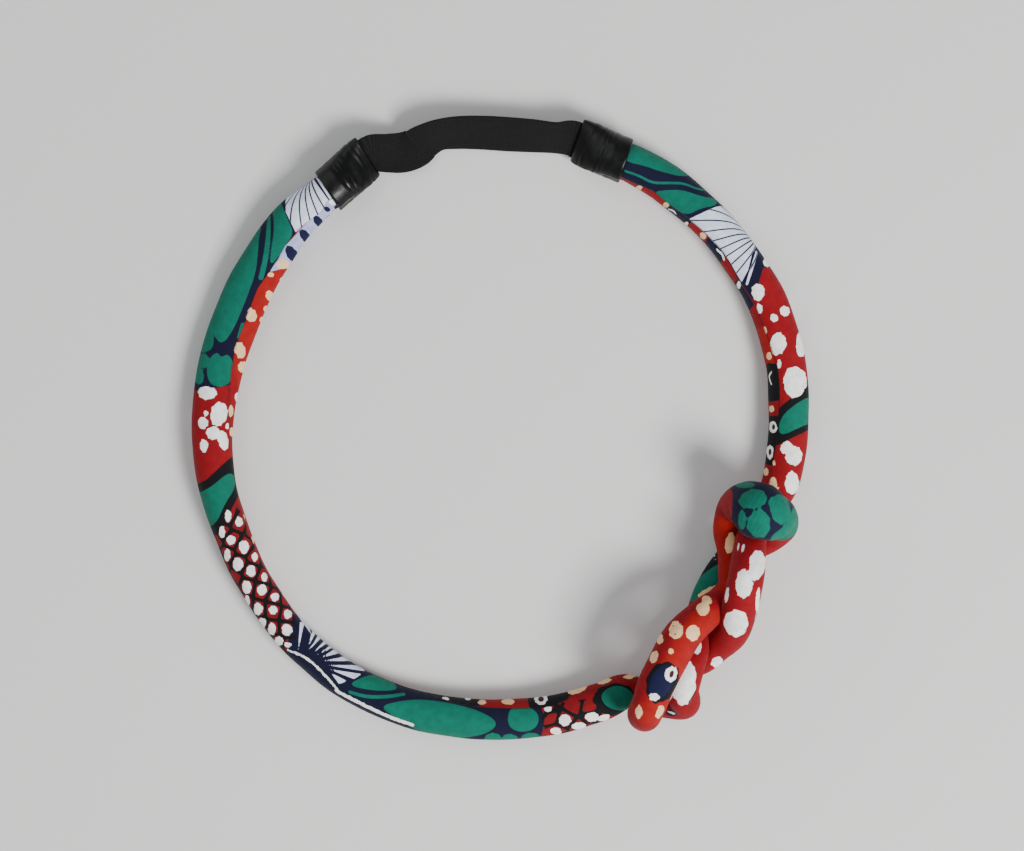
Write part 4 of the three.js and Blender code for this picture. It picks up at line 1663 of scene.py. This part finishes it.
class EndCap:
    """A leather sleeve, round where the tube goes in and flat where the elastic comes out."""

    def __init__(self, cap: CapForm, surface: CapSurface) -> None:
        """Places the cap's axis.

        Args:
            cap: how the cap lies.
            surface: fineness and handwork.
        """
        self.cap = cap
        self.surface = surface
        self.axis = cap_axis(cap)

    def _ring(self, share: float, stand_out: float) -> np.ndarray:
        """Points round the sleeve.

        Args:
            share: where along its length.
            stand_out: distance outside its lining, 0 for the lining itself.

        Returns:
            The points of one ring. Outside, the leather narrows evenly over its whole length.
        """
        cap, axis = self.cap, self.axis
        side, lift = upright(axis.along)
        grip, lap = CAP_GRIP / CAP_LENGTH, 1 - ELASTIC_LAP / CAP_LENGTH
        flat = smoothstep(share, grip * (1 + CAP_SHOULDER), lap)
        pulled = smoothstep(share, grip, lap)
        if stand_out:
            flat = max(share - self.surface.pull_start, 0.0) / (1 - self.surface.pull_start)
            pulled = share
        turn = -cap.turn * math.radians(cap.tilt) * flat
        side, lift = rotate(side, axis.along, turn), rotate(lift, axis.along, turn)
        bore = TUBE_DIAMETER * GRIP_BREADTH / 2 + CLEARANCE
        angles = section(1, self.surface.around)[0]
        if stand_out:
            stand_out = stand_out + self._handwork(share, angles)
        half = (
            mix(bore, ELASTIC_WIDTH / 2 + CLEARANCE, flat) + stand_out,
            mix(bore, ELASTIC_THICKNESS / 2 + CLEARANCE, flat) + stand_out,
        )
        x, y = squarish(angles, mix(MOUTH_ROUNDNESS, END_ROUNDNESS, flat))
        centre = axis.mouth + axis.along * CAP_LENGTH * share
        centre = centre + axis.bend * pulled
        x, y = x * half[0], y * half[1]
        return centre + x[:, None] * side + y[:, None] * lift

    def _past_lap(self, angles: np.ndarray) -> np.ndarray:
        """How far round from the lap points are.

        Args:
            angles: angles of the points, in radians.

        Returns:
            Radians, counted upwards from the side that faces the ring's middle.
        """
        side = upright(self.axis.along)[0]
        inner = np.dot(side, self.axis.mouth) < 0
        if inner:
            return wrapped(angles - math.radians(self.surface.lap_angle))
        return wrapped(math.pi - angles - math.radians(self.surface.lap_angle))

    def _handwork(self, share: float, angles: np.ndarray) -> np.ndarray:
        """Wrinkles where the leather is drawn in, and the step where it laps over itself.

        Args:
            share: where along its length.
            angles: angles of the points there, in radians.

        Returns:
            How far each point stands out.
        """
        form = self.surface
        drawn = smoothstep(share, *form.wrinkle_rise) * (1 - smoothstep(share, *form.wrinkle_fall))
        bent = share * form.wrinkles * 2 * math.pi + form.wrinkle_sway * np.sin(2 * angles + 1.0)
        stray, pace = form.wrinkle_uneven
        folds = np.sin(bent + stray * math.sin(share * pace))
        folds = folds * np.sin(2 * angles + form.wrinkle_twist * share)
        past = self._past_lap(angles)
        lap = smoothstep(past, *form.lap_rise) * (1 - smoothstep(past, *form.lap_fall))
        edge = smoothstep(share, 0.0, form.calm) * (1 - smoothstep(share, 1 - form.calm, 1.0))
        return (folds * form.wrinkle * drawn + lap * form.lap_step) * edge

    def build(self) -> bpy.types.Object:
        """Makes the cap's mesh: outside, rounded far lip, lining, rounded near lip.

        Returns:
            The piece, which takes the place of the plain cap.
        """
        lip = self.surface.wall / 2
        reach = lip / CAP_LENGTH
        rings = []
        for share in np.linspace(reach, 1 - reach, self.surface.steps):
            rings.append(self._ring(share, self.surface.wall))
        turns = np.linspace(0, math.pi, self.surface.lip_steps + 2)[1:-1]
        for turn in turns:
            rings.append(self._ring(1 - reach + reach * math.sin(turn), lip + lip * math.cos(turn)))
        for share in np.linspace(1 - reach, reach, self.surface.steps // 3):
            rings.append(self._ring(share, 0.0))
        for turn in turns:
            rings.append(self._ring(reach - reach * math.sin(turn), lip - lip * math.cos(turn)))
        faces = grid_faces(len(rings), self.surface.around, loop=True)
        made = make_mesh(f"{self.cap.node}_leather", np.array(rings), faces)
        past = self._past_lap(section(1, self.surface.around)[0]) * TUBE_DIAMETER / 2
        store_numbers(made.data, "lap_gap", np.tile(past, len(rings)))
        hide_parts(self.cap.node)
        return made


@dataclass
class WebbingForm:
    """Fineness and ribs of the elastic band.

    Attributes:
        step: spacing of sections along it.
        across: points round a section.
        rib: spacing of the lengthwise ribs.
        rib_height: their height from groove to crest.
        rib_level: share of that height which stays at the band's own surface.
        rib_fade: shares of its half thickness where the ribs begin and are full, off its edges.
        roundness: power of its section's curve.
    """

    step: float = 0.5
    across: int = 200
    rib: float = 0.8
    rib_height: float = 0.12
    rib_level: float = 0.5
    rib_fade: tuple[float, float] = (0.3, 0.9)
    roundness: float = 4.5


class ElasticBand:
    """The flat ribbed elastic between the caps, standing on edge along most of its way."""

    def __init__(self, form: WebbingForm) -> None:
        """Lays the band's route.

        Args:
            form: fineness and ribs.
        """
        self.form = form
        self.route = route_through(self._rows(), lambda row: form.step)

    @staticmethod
    def _lap(cap: CapForm) -> list[Row]:
        """Sections of the end that a cap holds.

        Args:
            cap: how the cap lies.

        Returns:
            The sections, from the band's end to just outside the cap.
        """
        axis = cap_axis(cap)
        half = (ELASTIC_WIDTH / 2, ELASTIC_THICKNESS / 2)
        places = (-ELASTIC_LAP, -ELASTIC_LAP / 2, 0.0, SLOPE_GAP)
        return [Row(axis.end + axis.along * at, half, tilt=cap.tilt) for at in places]

    def _rows(self) -> list[Row]:
        """All sections that the band passes through.

        Returns:
            The sections, from the left cap to the right one.
        """
        start, end = angle_of(cap_axis(LEFT_CAP).end), angle_of(cap_axis(RIGHT_CAP).end)
        half = (ELASTIC_WIDTH / 2, ELASTIC_THICKNESS / 2)
        free = []
        for row in ELASTIC_ROWS:
            place = polar(RING_RADIUS * row.radius, mix(start, end, row.share))
            free.append(Row(place + UP * ELASTIC_WIDTH * row.height, half, tilt=row.tilt))
        return [*self._lap(LEFT_CAP), *free, *self._lap(RIGHT_CAP)[::-1]]

    def build(self) -> bpy.types.Object:
        """Makes the band's mesh.

        Returns:
            The piece, which takes the place of the plain band.
        """
        route, form = self.route, self.form
        angles = section(len(route.centre), form.across)
        x, y = squarish(angles, np.full(angles.shape, form.roundness))
        flat = x * ELASTIC_WIDTH / 2
        ribs = form.rib_height * (np.abs(np.cos(math.pi * flat / form.rib)) - form.rib_level)
        y = y * (ELASTIC_THICKNESS / 2) + np.sign(y) * ribs * smoothstep(np.abs(y), *form.rib_fade)
        rings = []
        for i in range(len(route.centre)):
            turn = math.radians(route.tilt[i])
            side = rotate(route.side[i], route.tangent[i], turn)
            lift = rotate(route.lift[i], route.tangent[i], turn)
            rings.append(route.centre[i] + flat[i][:, None] * side + y[i][:, None] * lift)
        faces = grid_faces(len(rings), form.across)
        made = make_mesh("elastic_band_webbing", np.array(rings), faces)
        turn = np.arange(form.across + 1) / form.across * 2 * ELASTIC_WIDTH
        lay_cloth(made.data, route.arc, turn)
        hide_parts("elastic_band")
        return made


# How much of each finer layer of a mottling shows
NOISE_ROUGHNESS = 0.55


def per_metre(size: float) -> float:
    """Scale of a pattern whose parts are a size in millimetres, in coordinates in metres."""
    return 1.0 / (size * METRES)


def linear(colour: str) -> tuple[float, float, float, float]:
    """An sRGB hex colour as the linear one that a shader socket takes."""
    shares = [int(colour[i : i + 2], 16) / 255 for i in (1, 3, 5)]
    return (*((s / 12.92 if s <= 0.04045 else ((s + 0.055) / 1.055) ** 2.4) for s in shares), 1.0)


Output = bpy.types.NodeSocket
Input = float | tuple[float, ...] | Output


class Finish:
    """A material under construction, with short ways to add and join its nodes."""

    def __init__(self, name: str) -> None:
        """Begins with a plain material of that name."""
        self.material = bpy.data.materials.new(name)
        self.material.use_nodes = True
        self.tree = self.material.node_tree
        self.shader = self.tree.nodes["Principled BSDF"]

    def node(self, kind: str, settings: dict[str, str] | None = None, **inputs: Input) -> bpy.types.Node:
        """Adds a node.

        Args:
            kind: its type.
            settings: properties to set.
            inputs: a value or another node's output for each socket, by its name or by i and its
                number.

        Returns:
            The node.
        """
        made = self.tree.nodes.new(kind)
        for key, value in (settings or {}).items():
            setattr(made, key, value)
        for key, value in inputs.items():
            number = key[1:] if key[0] == "i" else ""
            name = int(number) if number.isdigit() else key.replace("_", " ")
            self.feed(made.inputs[name], value)
        return made

    def feed(self, socket: bpy.types.NodeSocket, value: Input) -> None:
        """Joins an output to a socket, or sets the socket's own value.

        Args:
            socket: what is fed.
            value: another node's output, or a plain value.
        """
        if isinstance(value, bpy.types.NodeSocket):
            self.tree.links.new(value, socket)
        else:
            socket.default_value = value

    def math(self, operation: str, first: Input, second: Input = 0.0) -> Output:
        """One step of arithmetic."""
        return self.node("ShaderNodeMath", {"operation": operation}, i0=first, i1=second).outputs[0]

    def attribute(self, name: str) -> Output:
        """A number stored at the mesh's vertices."""
        return self.node("ShaderNodeAttribute", {"attribute_name": name}).outputs["Fac"]

    def noise(self, place: Output, size: float, detail: float = 3.0) -> Output:
        """Soft random mottling.

        Args:
            place: coordinates that it lies in, in metres.
            size: breadth of a blot, in millimetres.
            detail: how much finer mottling is laid over it.

        Returns:
            A value from 0 to 1.
        """
        made = self.node("ShaderNodeTexNoise", None, Vector=place, Scale=per_metre(size),
                         Detail=detail, Roughness=NOISE_ROUGHNESS)
        return made.outputs["Fac"]

    def span(
        self, value: Input, low: float, high: float, to_low: float = 0.0, to_high: float = 1.0
    ) -> Output:
        """A value eased from one range to another.

        Args:
            value: what is eased.
            low, high: the range that it comes from.
            to_low, to_high: the range that it goes to.

        Returns:
            The eased value.
        """
        made = self.node("ShaderNodeMapRange", {"interpolation_type": "SMOOTHSTEP"}, i0=value,
                         i1=low, i2=high, i3=to_low, i4=to_high)
        return made.outputs["Result"]

    def blend(self, share: Input, under: Input, over: Input) -> Output:
        """Two colours mixed.

        Args:
            share: how much of the upper one shows.
            under: the lower colour.
            over: the upper colour.

        Returns:
            The mixed colour.
        """
        made = self.node("ShaderNodeMix", {"data_type": "RGBA"})
        self.feed(made.inputs[0], share)
        self.feed(made.inputs[6], under)
        self.feed(made.inputs[7], over)
        return made.outputs[2]

    def bump(
        self, height: Input, depth: float, strength: float = 1.0, under: Output | None = None
    ) -> Output:
        """Fine relief.

        Args:
            height: its height, from 0 to 1.
            depth: how deep that is, in millimetres.
            strength: how much of it the light shows.
            under: relief that it lies on.

        Returns:
            The direction of the surface.
        """
        distance = depth * METRES
        made = self.node("ShaderNodeBump", None, Height=height, Distance=distance, Strength=strength)
        if under is not None:
            self.feed(made.inputs["Normal"], under)
        return made.outputs["Normal"]

    def surface(self, **values: Input) -> bpy.types.Material:
        """Sets the shader's sockets and gives the finished material."""
        for key, value in values.items():
            self.feed(self.shader.inputs[key.replace("_", " ")], value)
        return self.material


@dataclass(frozen=True)
class WaxPrintCotton:
    """Plain-woven cotton, wax printed: matt, its dyes a little mottled, with crisp wavering edges
    where the wax cracked and the weave showing close up.

    Attributes:
        thread: spacing of the weave's threads, in millimetres, as the following sizes are.
        edge: half the softness of a printed edge.
        lit_red_edge: the same where the lighter red, painted light, passes into the crimson.
        ray: half the breadth of a fan's ray.
        groove: half the breadth of the seam's groove.
        tuck: where the lapped cloth falls off beside the seam.
        waver: length of the wavering along a printed edge.
        mottle: breadth of the blots in the dye, and mottle_shade how light they leave it.
        slub: length of the thick places in the yarn.
        rumple: breadth of the soft dents in the stuffed cloth.
        thread_gap_shadow, groove_shadow: painted shade, how light the gaps between threads and the seam's
            groove are left; the threads' crests are painted a little lighter.
        roughness, sheen, gloss: a dry, almost matt cloth with a trace of fibre sheen.
    """

    thread: float = 0.36
    edge: float = 0.09
    lit_red_edge: float = 1.2
    ray: float = 0.24
    groove: float = 0.3
    tuck: tuple[float, float] = (-0.5, 0.1)
    waver: float = 1.111
    mottle: float = 2.381
    mottle_shade: tuple[float, float] = (0.86, 1.06)
    slub: float = 0.6667
    rumple: float = 6.25
    thread_gap_shadow: tuple[float, float] = (0.9, 1.05)
    groove_shadow: tuple[float, float] = (0.55, 1.0)
    roughness: float = 0.78
    sheen: float = 0.04
    gloss: float = 0.2

    def build(self) -> bpy.types.Material:
        """Makes the material.

        Returns:
            Crimson cloth with each ink laid over it in turn, the lowest a lighter red that is painted
            light, with painted shade in its weave's gaps and seam groove, and its weave, seam and dents in
            relief.
        """
        make = Finish("wax printed plain weave cotton")
        place = make.node("ShaderNodeTexCoord").outputs["Object"]
        waver = make.math("SUBTRACT", make.noise(place, self.waver, 2.0), 0.5)
        colour = linear(CRIMSON)
        for ink in Ink:
            depth = make.attribute(ink.label)
            depth = make.math("ADD", depth, make.math("MULTIPLY", waver, ink.waver * 2))
            # Painted light: the lighter red passes softly into the crimson, while the other inks keep crisp
            # edges
            soft = self.lit_red_edge if ink is Ink.LIT_RED else self.edge
            share = make.span(depth, -soft, soft)
            colour = make.blend(share, colour, linear(ink.colour))
            if ink is Ink.PALE:
                colour = make.blend(self._rays(make), colour, linear(Ink.NAVY.colour))
        mottle = make.span(make.noise(place, self.mottle, 4.0), 0.3, 0.7, *self.mottle_shade)
        worn = make.node("ShaderNodeHueSaturation", None, Color=colour, Value=mottle).outputs["Color"]
        weave = self._weave(make)
        gap = make.attribute("seam_gap")
        groove = make.span(make.math("ABSOLUTE", gap), 0.0, self.groove)
        # Painted shade: the colour darkens in the gaps between threads and in the seam's groove, and
        # lightens a little on the threads' crests
        threads = make.span(weave, 0.0, 1.0, *self.thread_gap_shadow)
        shade = make.math("MULTIPLY", threads, make.span(groove, 0.0, 1.0, *self.groove_shadow))
        lit = make.node("ShaderNodeHueSaturation", None, Color=worn, Value=shade).outputs["Color"]
        relief = make.bump(weave, 0.06, 0.7)
        relief = make.bump(make.noise(place, self.slub, 2.0), 0.05, 0.5, under=relief)
        relief = make.bump(make.noise(place, self.rumple, 3.0), 0.4, 0.35, under=relief)
        relief = make.bump(groove, 0.35, 0.8, under=relief)
        relief = make.bump(make.span(gap, *self.tuck), 0.4, 0.8, under=relief)
        return make.surface(
            Base_Color=lit, Roughness=self.roughness, Normal=relief, Sheen_Weight=self.sheen,
            Sheen_Roughness=0.4, Specular_IOR_Level=self.gloss,
        )

    def _rays(self, make: Finish) -> Output:
        """Navy rays over the fans' pale ground, as broad near the fan's point as far from it.

        Args:
            make: the material under construction.

        Returns:
            How much of the navy shows.
        """
        pale = make.span(make.attribute(Ink.PALE.label), 0.0, self.edge)
        phase = make.math("FRACT", make.math("ADD", make.attribute("fan_phase"), 0.5))
        aside = make.math("ABSOLUTE", make.math("SUBTRACT", phase, 0.5))
        gap = make.math("MULTIPLY", aside, make.attribute("fan_reach"))
        line = make.span(gap, self.ray * 0.6, self.ray * 1.3, 1.0, 0.0)
        drawn = make.math("MULTIPLY", line, make.attribute("fan_drawn"))
        return make.math("MULTIPLY", drawn, pale)

    def _weave(self, make: Finish) -> Output:
        """Threads that pass over and under each other, from the cloth's own coordinates.

        Args:
            make: the material under construction.

        Returns:
            Their height, 0 in the gaps between them.
        """
        cloth = make.node("ShaderNodeUVMap", {"uv_map": CLOTH_MAP}).outputs["UV"]
        across = make.node("ShaderNodeSeparateXYZ", None, Vector=cloth)
        turn = math.pi / self.thread
        warp = make.math("SINE", make.math("MULTIPLY", across.outputs[0], turn))
        weft = make.math("SINE", make.math("MULTIPLY", across.outputs[1], turn))
        over = make.math("MULTIPLY", warp, weft)
        return make.span(make.math("ABSOLUTE", over), 0.0, 0.9)


@dataclass(frozen=True)
class SoftLeather:
    """Thin black grain leather, pressed and glued by hand: a satin face with fine pebbling and a
    few pulled wrinkles that catch the light.

    Attributes:
        colour, high: the black, and the worn black of its high places.
        edge: raw grey of the cut edge where the leather laps over itself.
        lap_line: millimetres from the lap where that edge starts and ends.
        pebble: breadth of the grain's pebbles, in millimetres, as the following sizes are.
        dent: breadth of the dents that pressing by hand left.
        wear, rub, polish: breadth of the worn blots, of the breaks in the grey edge and of the
            places that shine more.
        roughness: of the shiniest and of the dullest places.
        gloss: strength of the reflection, a dressed leather's.
    """

    colour: str = "#040404"
    high: str = "#0C0C0C"
    edge: str = "#6E6A62"
    lap_line: tuple[float, float] = (0.16, 0.4)
    pebble: float = 0.6667
    dent: float = 2.0
    wear: float = 3.846
    rub: float = 2.381
    polish: float = 2.857
    roughness: tuple[float, float] = (0.3, 0.44)
    gloss: float = 0.26

    def build(self) -> bpy.types.Material:
        """Makes the material.

        Returns:
            Black leather with its grain, its wear and the grey line of its lap.
        """
        make = Finish("glued black grain leather")
        place = make.node("ShaderNodeTexCoord").outputs["Object"]
        pebbles = make.node("ShaderNodeTexVoronoi", {"feature": "SMOOTH_F1"}, Vector=place,
                            Scale=per_metre(self.pebble))
        worn = make.span(make.noise(place, self.wear, 5.0), 0.42, 0.7)
        colour = make.blend(worn, linear(self.colour), linear(self.high))
        relief = make.bump(pebbles.outputs["Distance"], 0.05, 0.5)
        relief = make.bump(make.noise(place, self.dent, 4.0), 0.1, 0.4, under=relief)
        past = make.math("ABSOLUTE", make.attribute("lap_gap"))
        seam = make.span(past, *self.lap_line, 1.0, 0.0)
        rubbed = make.math("MULTIPLY", seam, make.span(make.noise(place, self.rub), 0.4, 0.6))
        colour = make.blend(rubbed, colour, linear(self.edge))
        rough = make.span(make.noise(place, self.polish), 0.35, 0.65, *self.roughness)
        return make.surface(
            Base_Color=colour, Roughness=rough, Normal=relief, Specular_IOR_Level=self.gloss
        )


@dataclass(frozen=True)
class WovenElastic:
    """Black woven elastic: dull yarn bound across fine rubber, so that it shows narrow lengthwise
    ribs and a tiny cross thread.

    Attributes:
        colour, high: the yarn in its hollows and where it stands out, painted shade in the hollows between
            cross threads and painted highlight on their crests; the tufts add an uneven tone.
        pick: spacing of the cross threads, in millimetres.
        fuzz: breadth of the yarn's tufts, in millimetres.
        roughness, sheen, gloss: dull, a little hairy yarn.
    """

    colour: str = "#060607"
    high: str = "#161617"
    pick: float = 0.55
    fuzz: float = 0.4545
    roughness: float = 0.85
    sheen: float = 0.06
    gloss: float = 0.2

    def build(self) -> bpy.types.Material:
        """Makes the material.

        Returns:
            Black webbing whose cross threads and tufts stand in relief, with painted shade in the hollows
            between cross threads and painted highlight on their crests.
        """
        make = Finish("woven rubber elastic webbing")
        cloth = make.node("ShaderNodeUVMap", {"uv_map": CLOTH_MAP}).outputs["UV"]
        across = make.node("ShaderNodeSeparateXYZ", None, Vector=cloth)
        picks = make.math("SINE", make.math("MULTIPLY", across.outputs[0], 2 * math.pi / self.pick))
        place = make.node("ShaderNodeTexCoord").outputs["Object"]
        fuzz = make.noise(place, self.fuzz)
        # Painted shade and highlight: darker yarn in the hollows between cross threads, lighter on their
        # crests, with the tufts' uneven tone over it
        share = make.math("ADD", make.math("MULTIPLY", picks, 0.18), fuzz)
        colour = make.blend(make.span(share, 0.3, 0.8), linear(self.colour), linear(self.high))
        relief = make.bump(picks, 0.05, 0.6)
        relief = make.bump(fuzz, 0.08, 0.7, under=relief)
        return make.surface(
            Base_Color=colour, Roughness=self.roughness, Normal=relief, Sheen_Weight=self.sheen,
            Specular_IOR_Level=self.gloss,
        )


@dataclass(frozen=True)
class Lamp:
    """A square lamp that points at the ring's middle.

    Attributes:
        name: what it is for.
        place: where it stands, in metres.
        size: its breadth, in metres.
        power: its power, in watts.
    """

    name: str
    place: tuple[float, float, float]
    size: float
    power: float


@dataclass(frozen=True)
class Studio:
    """Camera, floor and lights, with the camera straight over the floor as the photo's was.

    Attributes:
        eye: the camera's place over the floor, in metres.
        view_width: breadth of the floor that the picture shows, in metres.
        sensor: the sensor's width, in millimetres.
        picture_width: the photo's width in pixels.
        floor_size: breadth of the floor, in metres.
        floor_drop: how far it lies below the ring, so that the two don't flicker, in metres.
        floor_colour: pale paper.
        lamps: a large soft key light from the lower right, and a fill.
        sky, sky_strength: colour and strength of the even surround.
    """

    eye: tuple[float, float, float] = (0.00364, 0.00083, 0.8)
    view_width: float = 0.319
    sensor: float = 36.0
    picture_width: int = 1024
    floor_size: float = 3.0
    floor_drop: float = 0.0002
    floor_colour: tuple[float, float, float, float] = (0.72, 0.71, 0.69, 1.0)
    lamps: tuple[Lamp, ...] = (
        Lamp("key", (0.75, -0.65, 1.05), 0.5, 29.0),
        Lamp("fill", (-0.9, 0.6, 1.0), 1.4, 7.0),
    )
    sky: tuple[float, float, float, float] = (0.8, 0.83, 0.88, 1.0)
    sky_strength: float = 0.5

    def sight(self) -> Sight:
        """How the camera sees the ring."""
        eye = np.array(self.eye) / METRES - RING_CENTRE
        return Sight(tuple(eye), self.view_width / METRES / self.picture_width)

    def camera(self) -> None:
        """Puts the camera straight above, with the photo's framing."""
        data = bpy.data.cameras.new("camera")
        data.sensor_width = self.sensor
        data.lens = self.sensor * self.eye[2] / self.view_width
        made = bpy.data.objects.new("camera", data)
        made.location = self.eye
        bpy.context.scene.collection.objects.link(made)
        bpy.context.scene.camera = made

    def floor(self) -> None:
        """A plain pale floor."""
        half = self.floor_size / 2
        corners = [(-half, -half, 0), (half, -half, 0), (half, half, 0), (-half, half, 0)]
        mesh = bpy.data.meshes.new("floor")
        mesh.from_pydata(corners, [], [(0, 1, 2, 3)])
        made = bpy.data.objects.new("floor", mesh)
        made.location.z = -self.floor_drop
        bpy.context.scene.collection.objects.link(made)
        material = bpy.data.materials.new("floor paper")
        material.use_nodes = True
        shader = material.node_tree.nodes["Principled BSDF"]
        shader.inputs["Base Color"].default_value = self.floor_colour
        shader.inputs["Roughness"].default_value = 0.9
        mesh.materials.append(material)

    def lights(self) -> None:
        """Hangs the lamps and sets the even surround."""
        for lamp in self.lamps:
            data = bpy.data.lights.new(lamp.name, "AREA")
            data.size = lamp.size
            data.energy = lamp.power
            made = bpy.data.objects.new(lamp.name, data)
            made.location = lamp.place
            made.rotation_mode = "QUATERNION"
            made.rotation_quaternion = Vector(-np.array(lamp.place)).to_track_quat("-Z", "Y")
            bpy.context.scene.collection.objects.link(made)
        world = bpy.data.worlds.new("surround")
        world.use_nodes = True
        inputs = world.node_tree.nodes["Background"].inputs
        inputs["Color"].default_value = self.sky
        inputs["Strength"].default_value = self.sky_strength
        bpy.context.scene.world = world


def main() -> None:
    """Builds the dressed headband in its studio."""
    logging.basicConfig(level=logging.INFO, format="%(name)s: %(message)s")
    studio = Studio()
    tube = PaddedTube(TubeForm())
    made = tube.build()
    painter = PrintPainter(tube, studio.sight())
    for stretch in STRETCHES:
        painter.paint(stretch)
        log.info("print on the %s", stretch.name)
    left_arm = STRETCHES[0]
    painter.lattice(left_arm, tuple((spot.x, spot.y) for spot in LATTICE_SPOTS))
    painter.lattice(left_arm, END_LATTICE)
    painter.sprinkle()
    painter.store(made.data)
    made.data.materials.append(WaxPrintCotton().build())
    leather = SoftLeather().build()
    for cap in (LEFT_CAP, RIGHT_CAP):
        EndCap(cap, CapSurface()).build().data.materials.append(leather)
    band = ElasticBand(WebbingForm()).build()
    band.data.materials.append(WovenElastic().build())
    studio.floor()
    studio.lights()
    studio.camera()


if __name__ == "__main__":
    main()
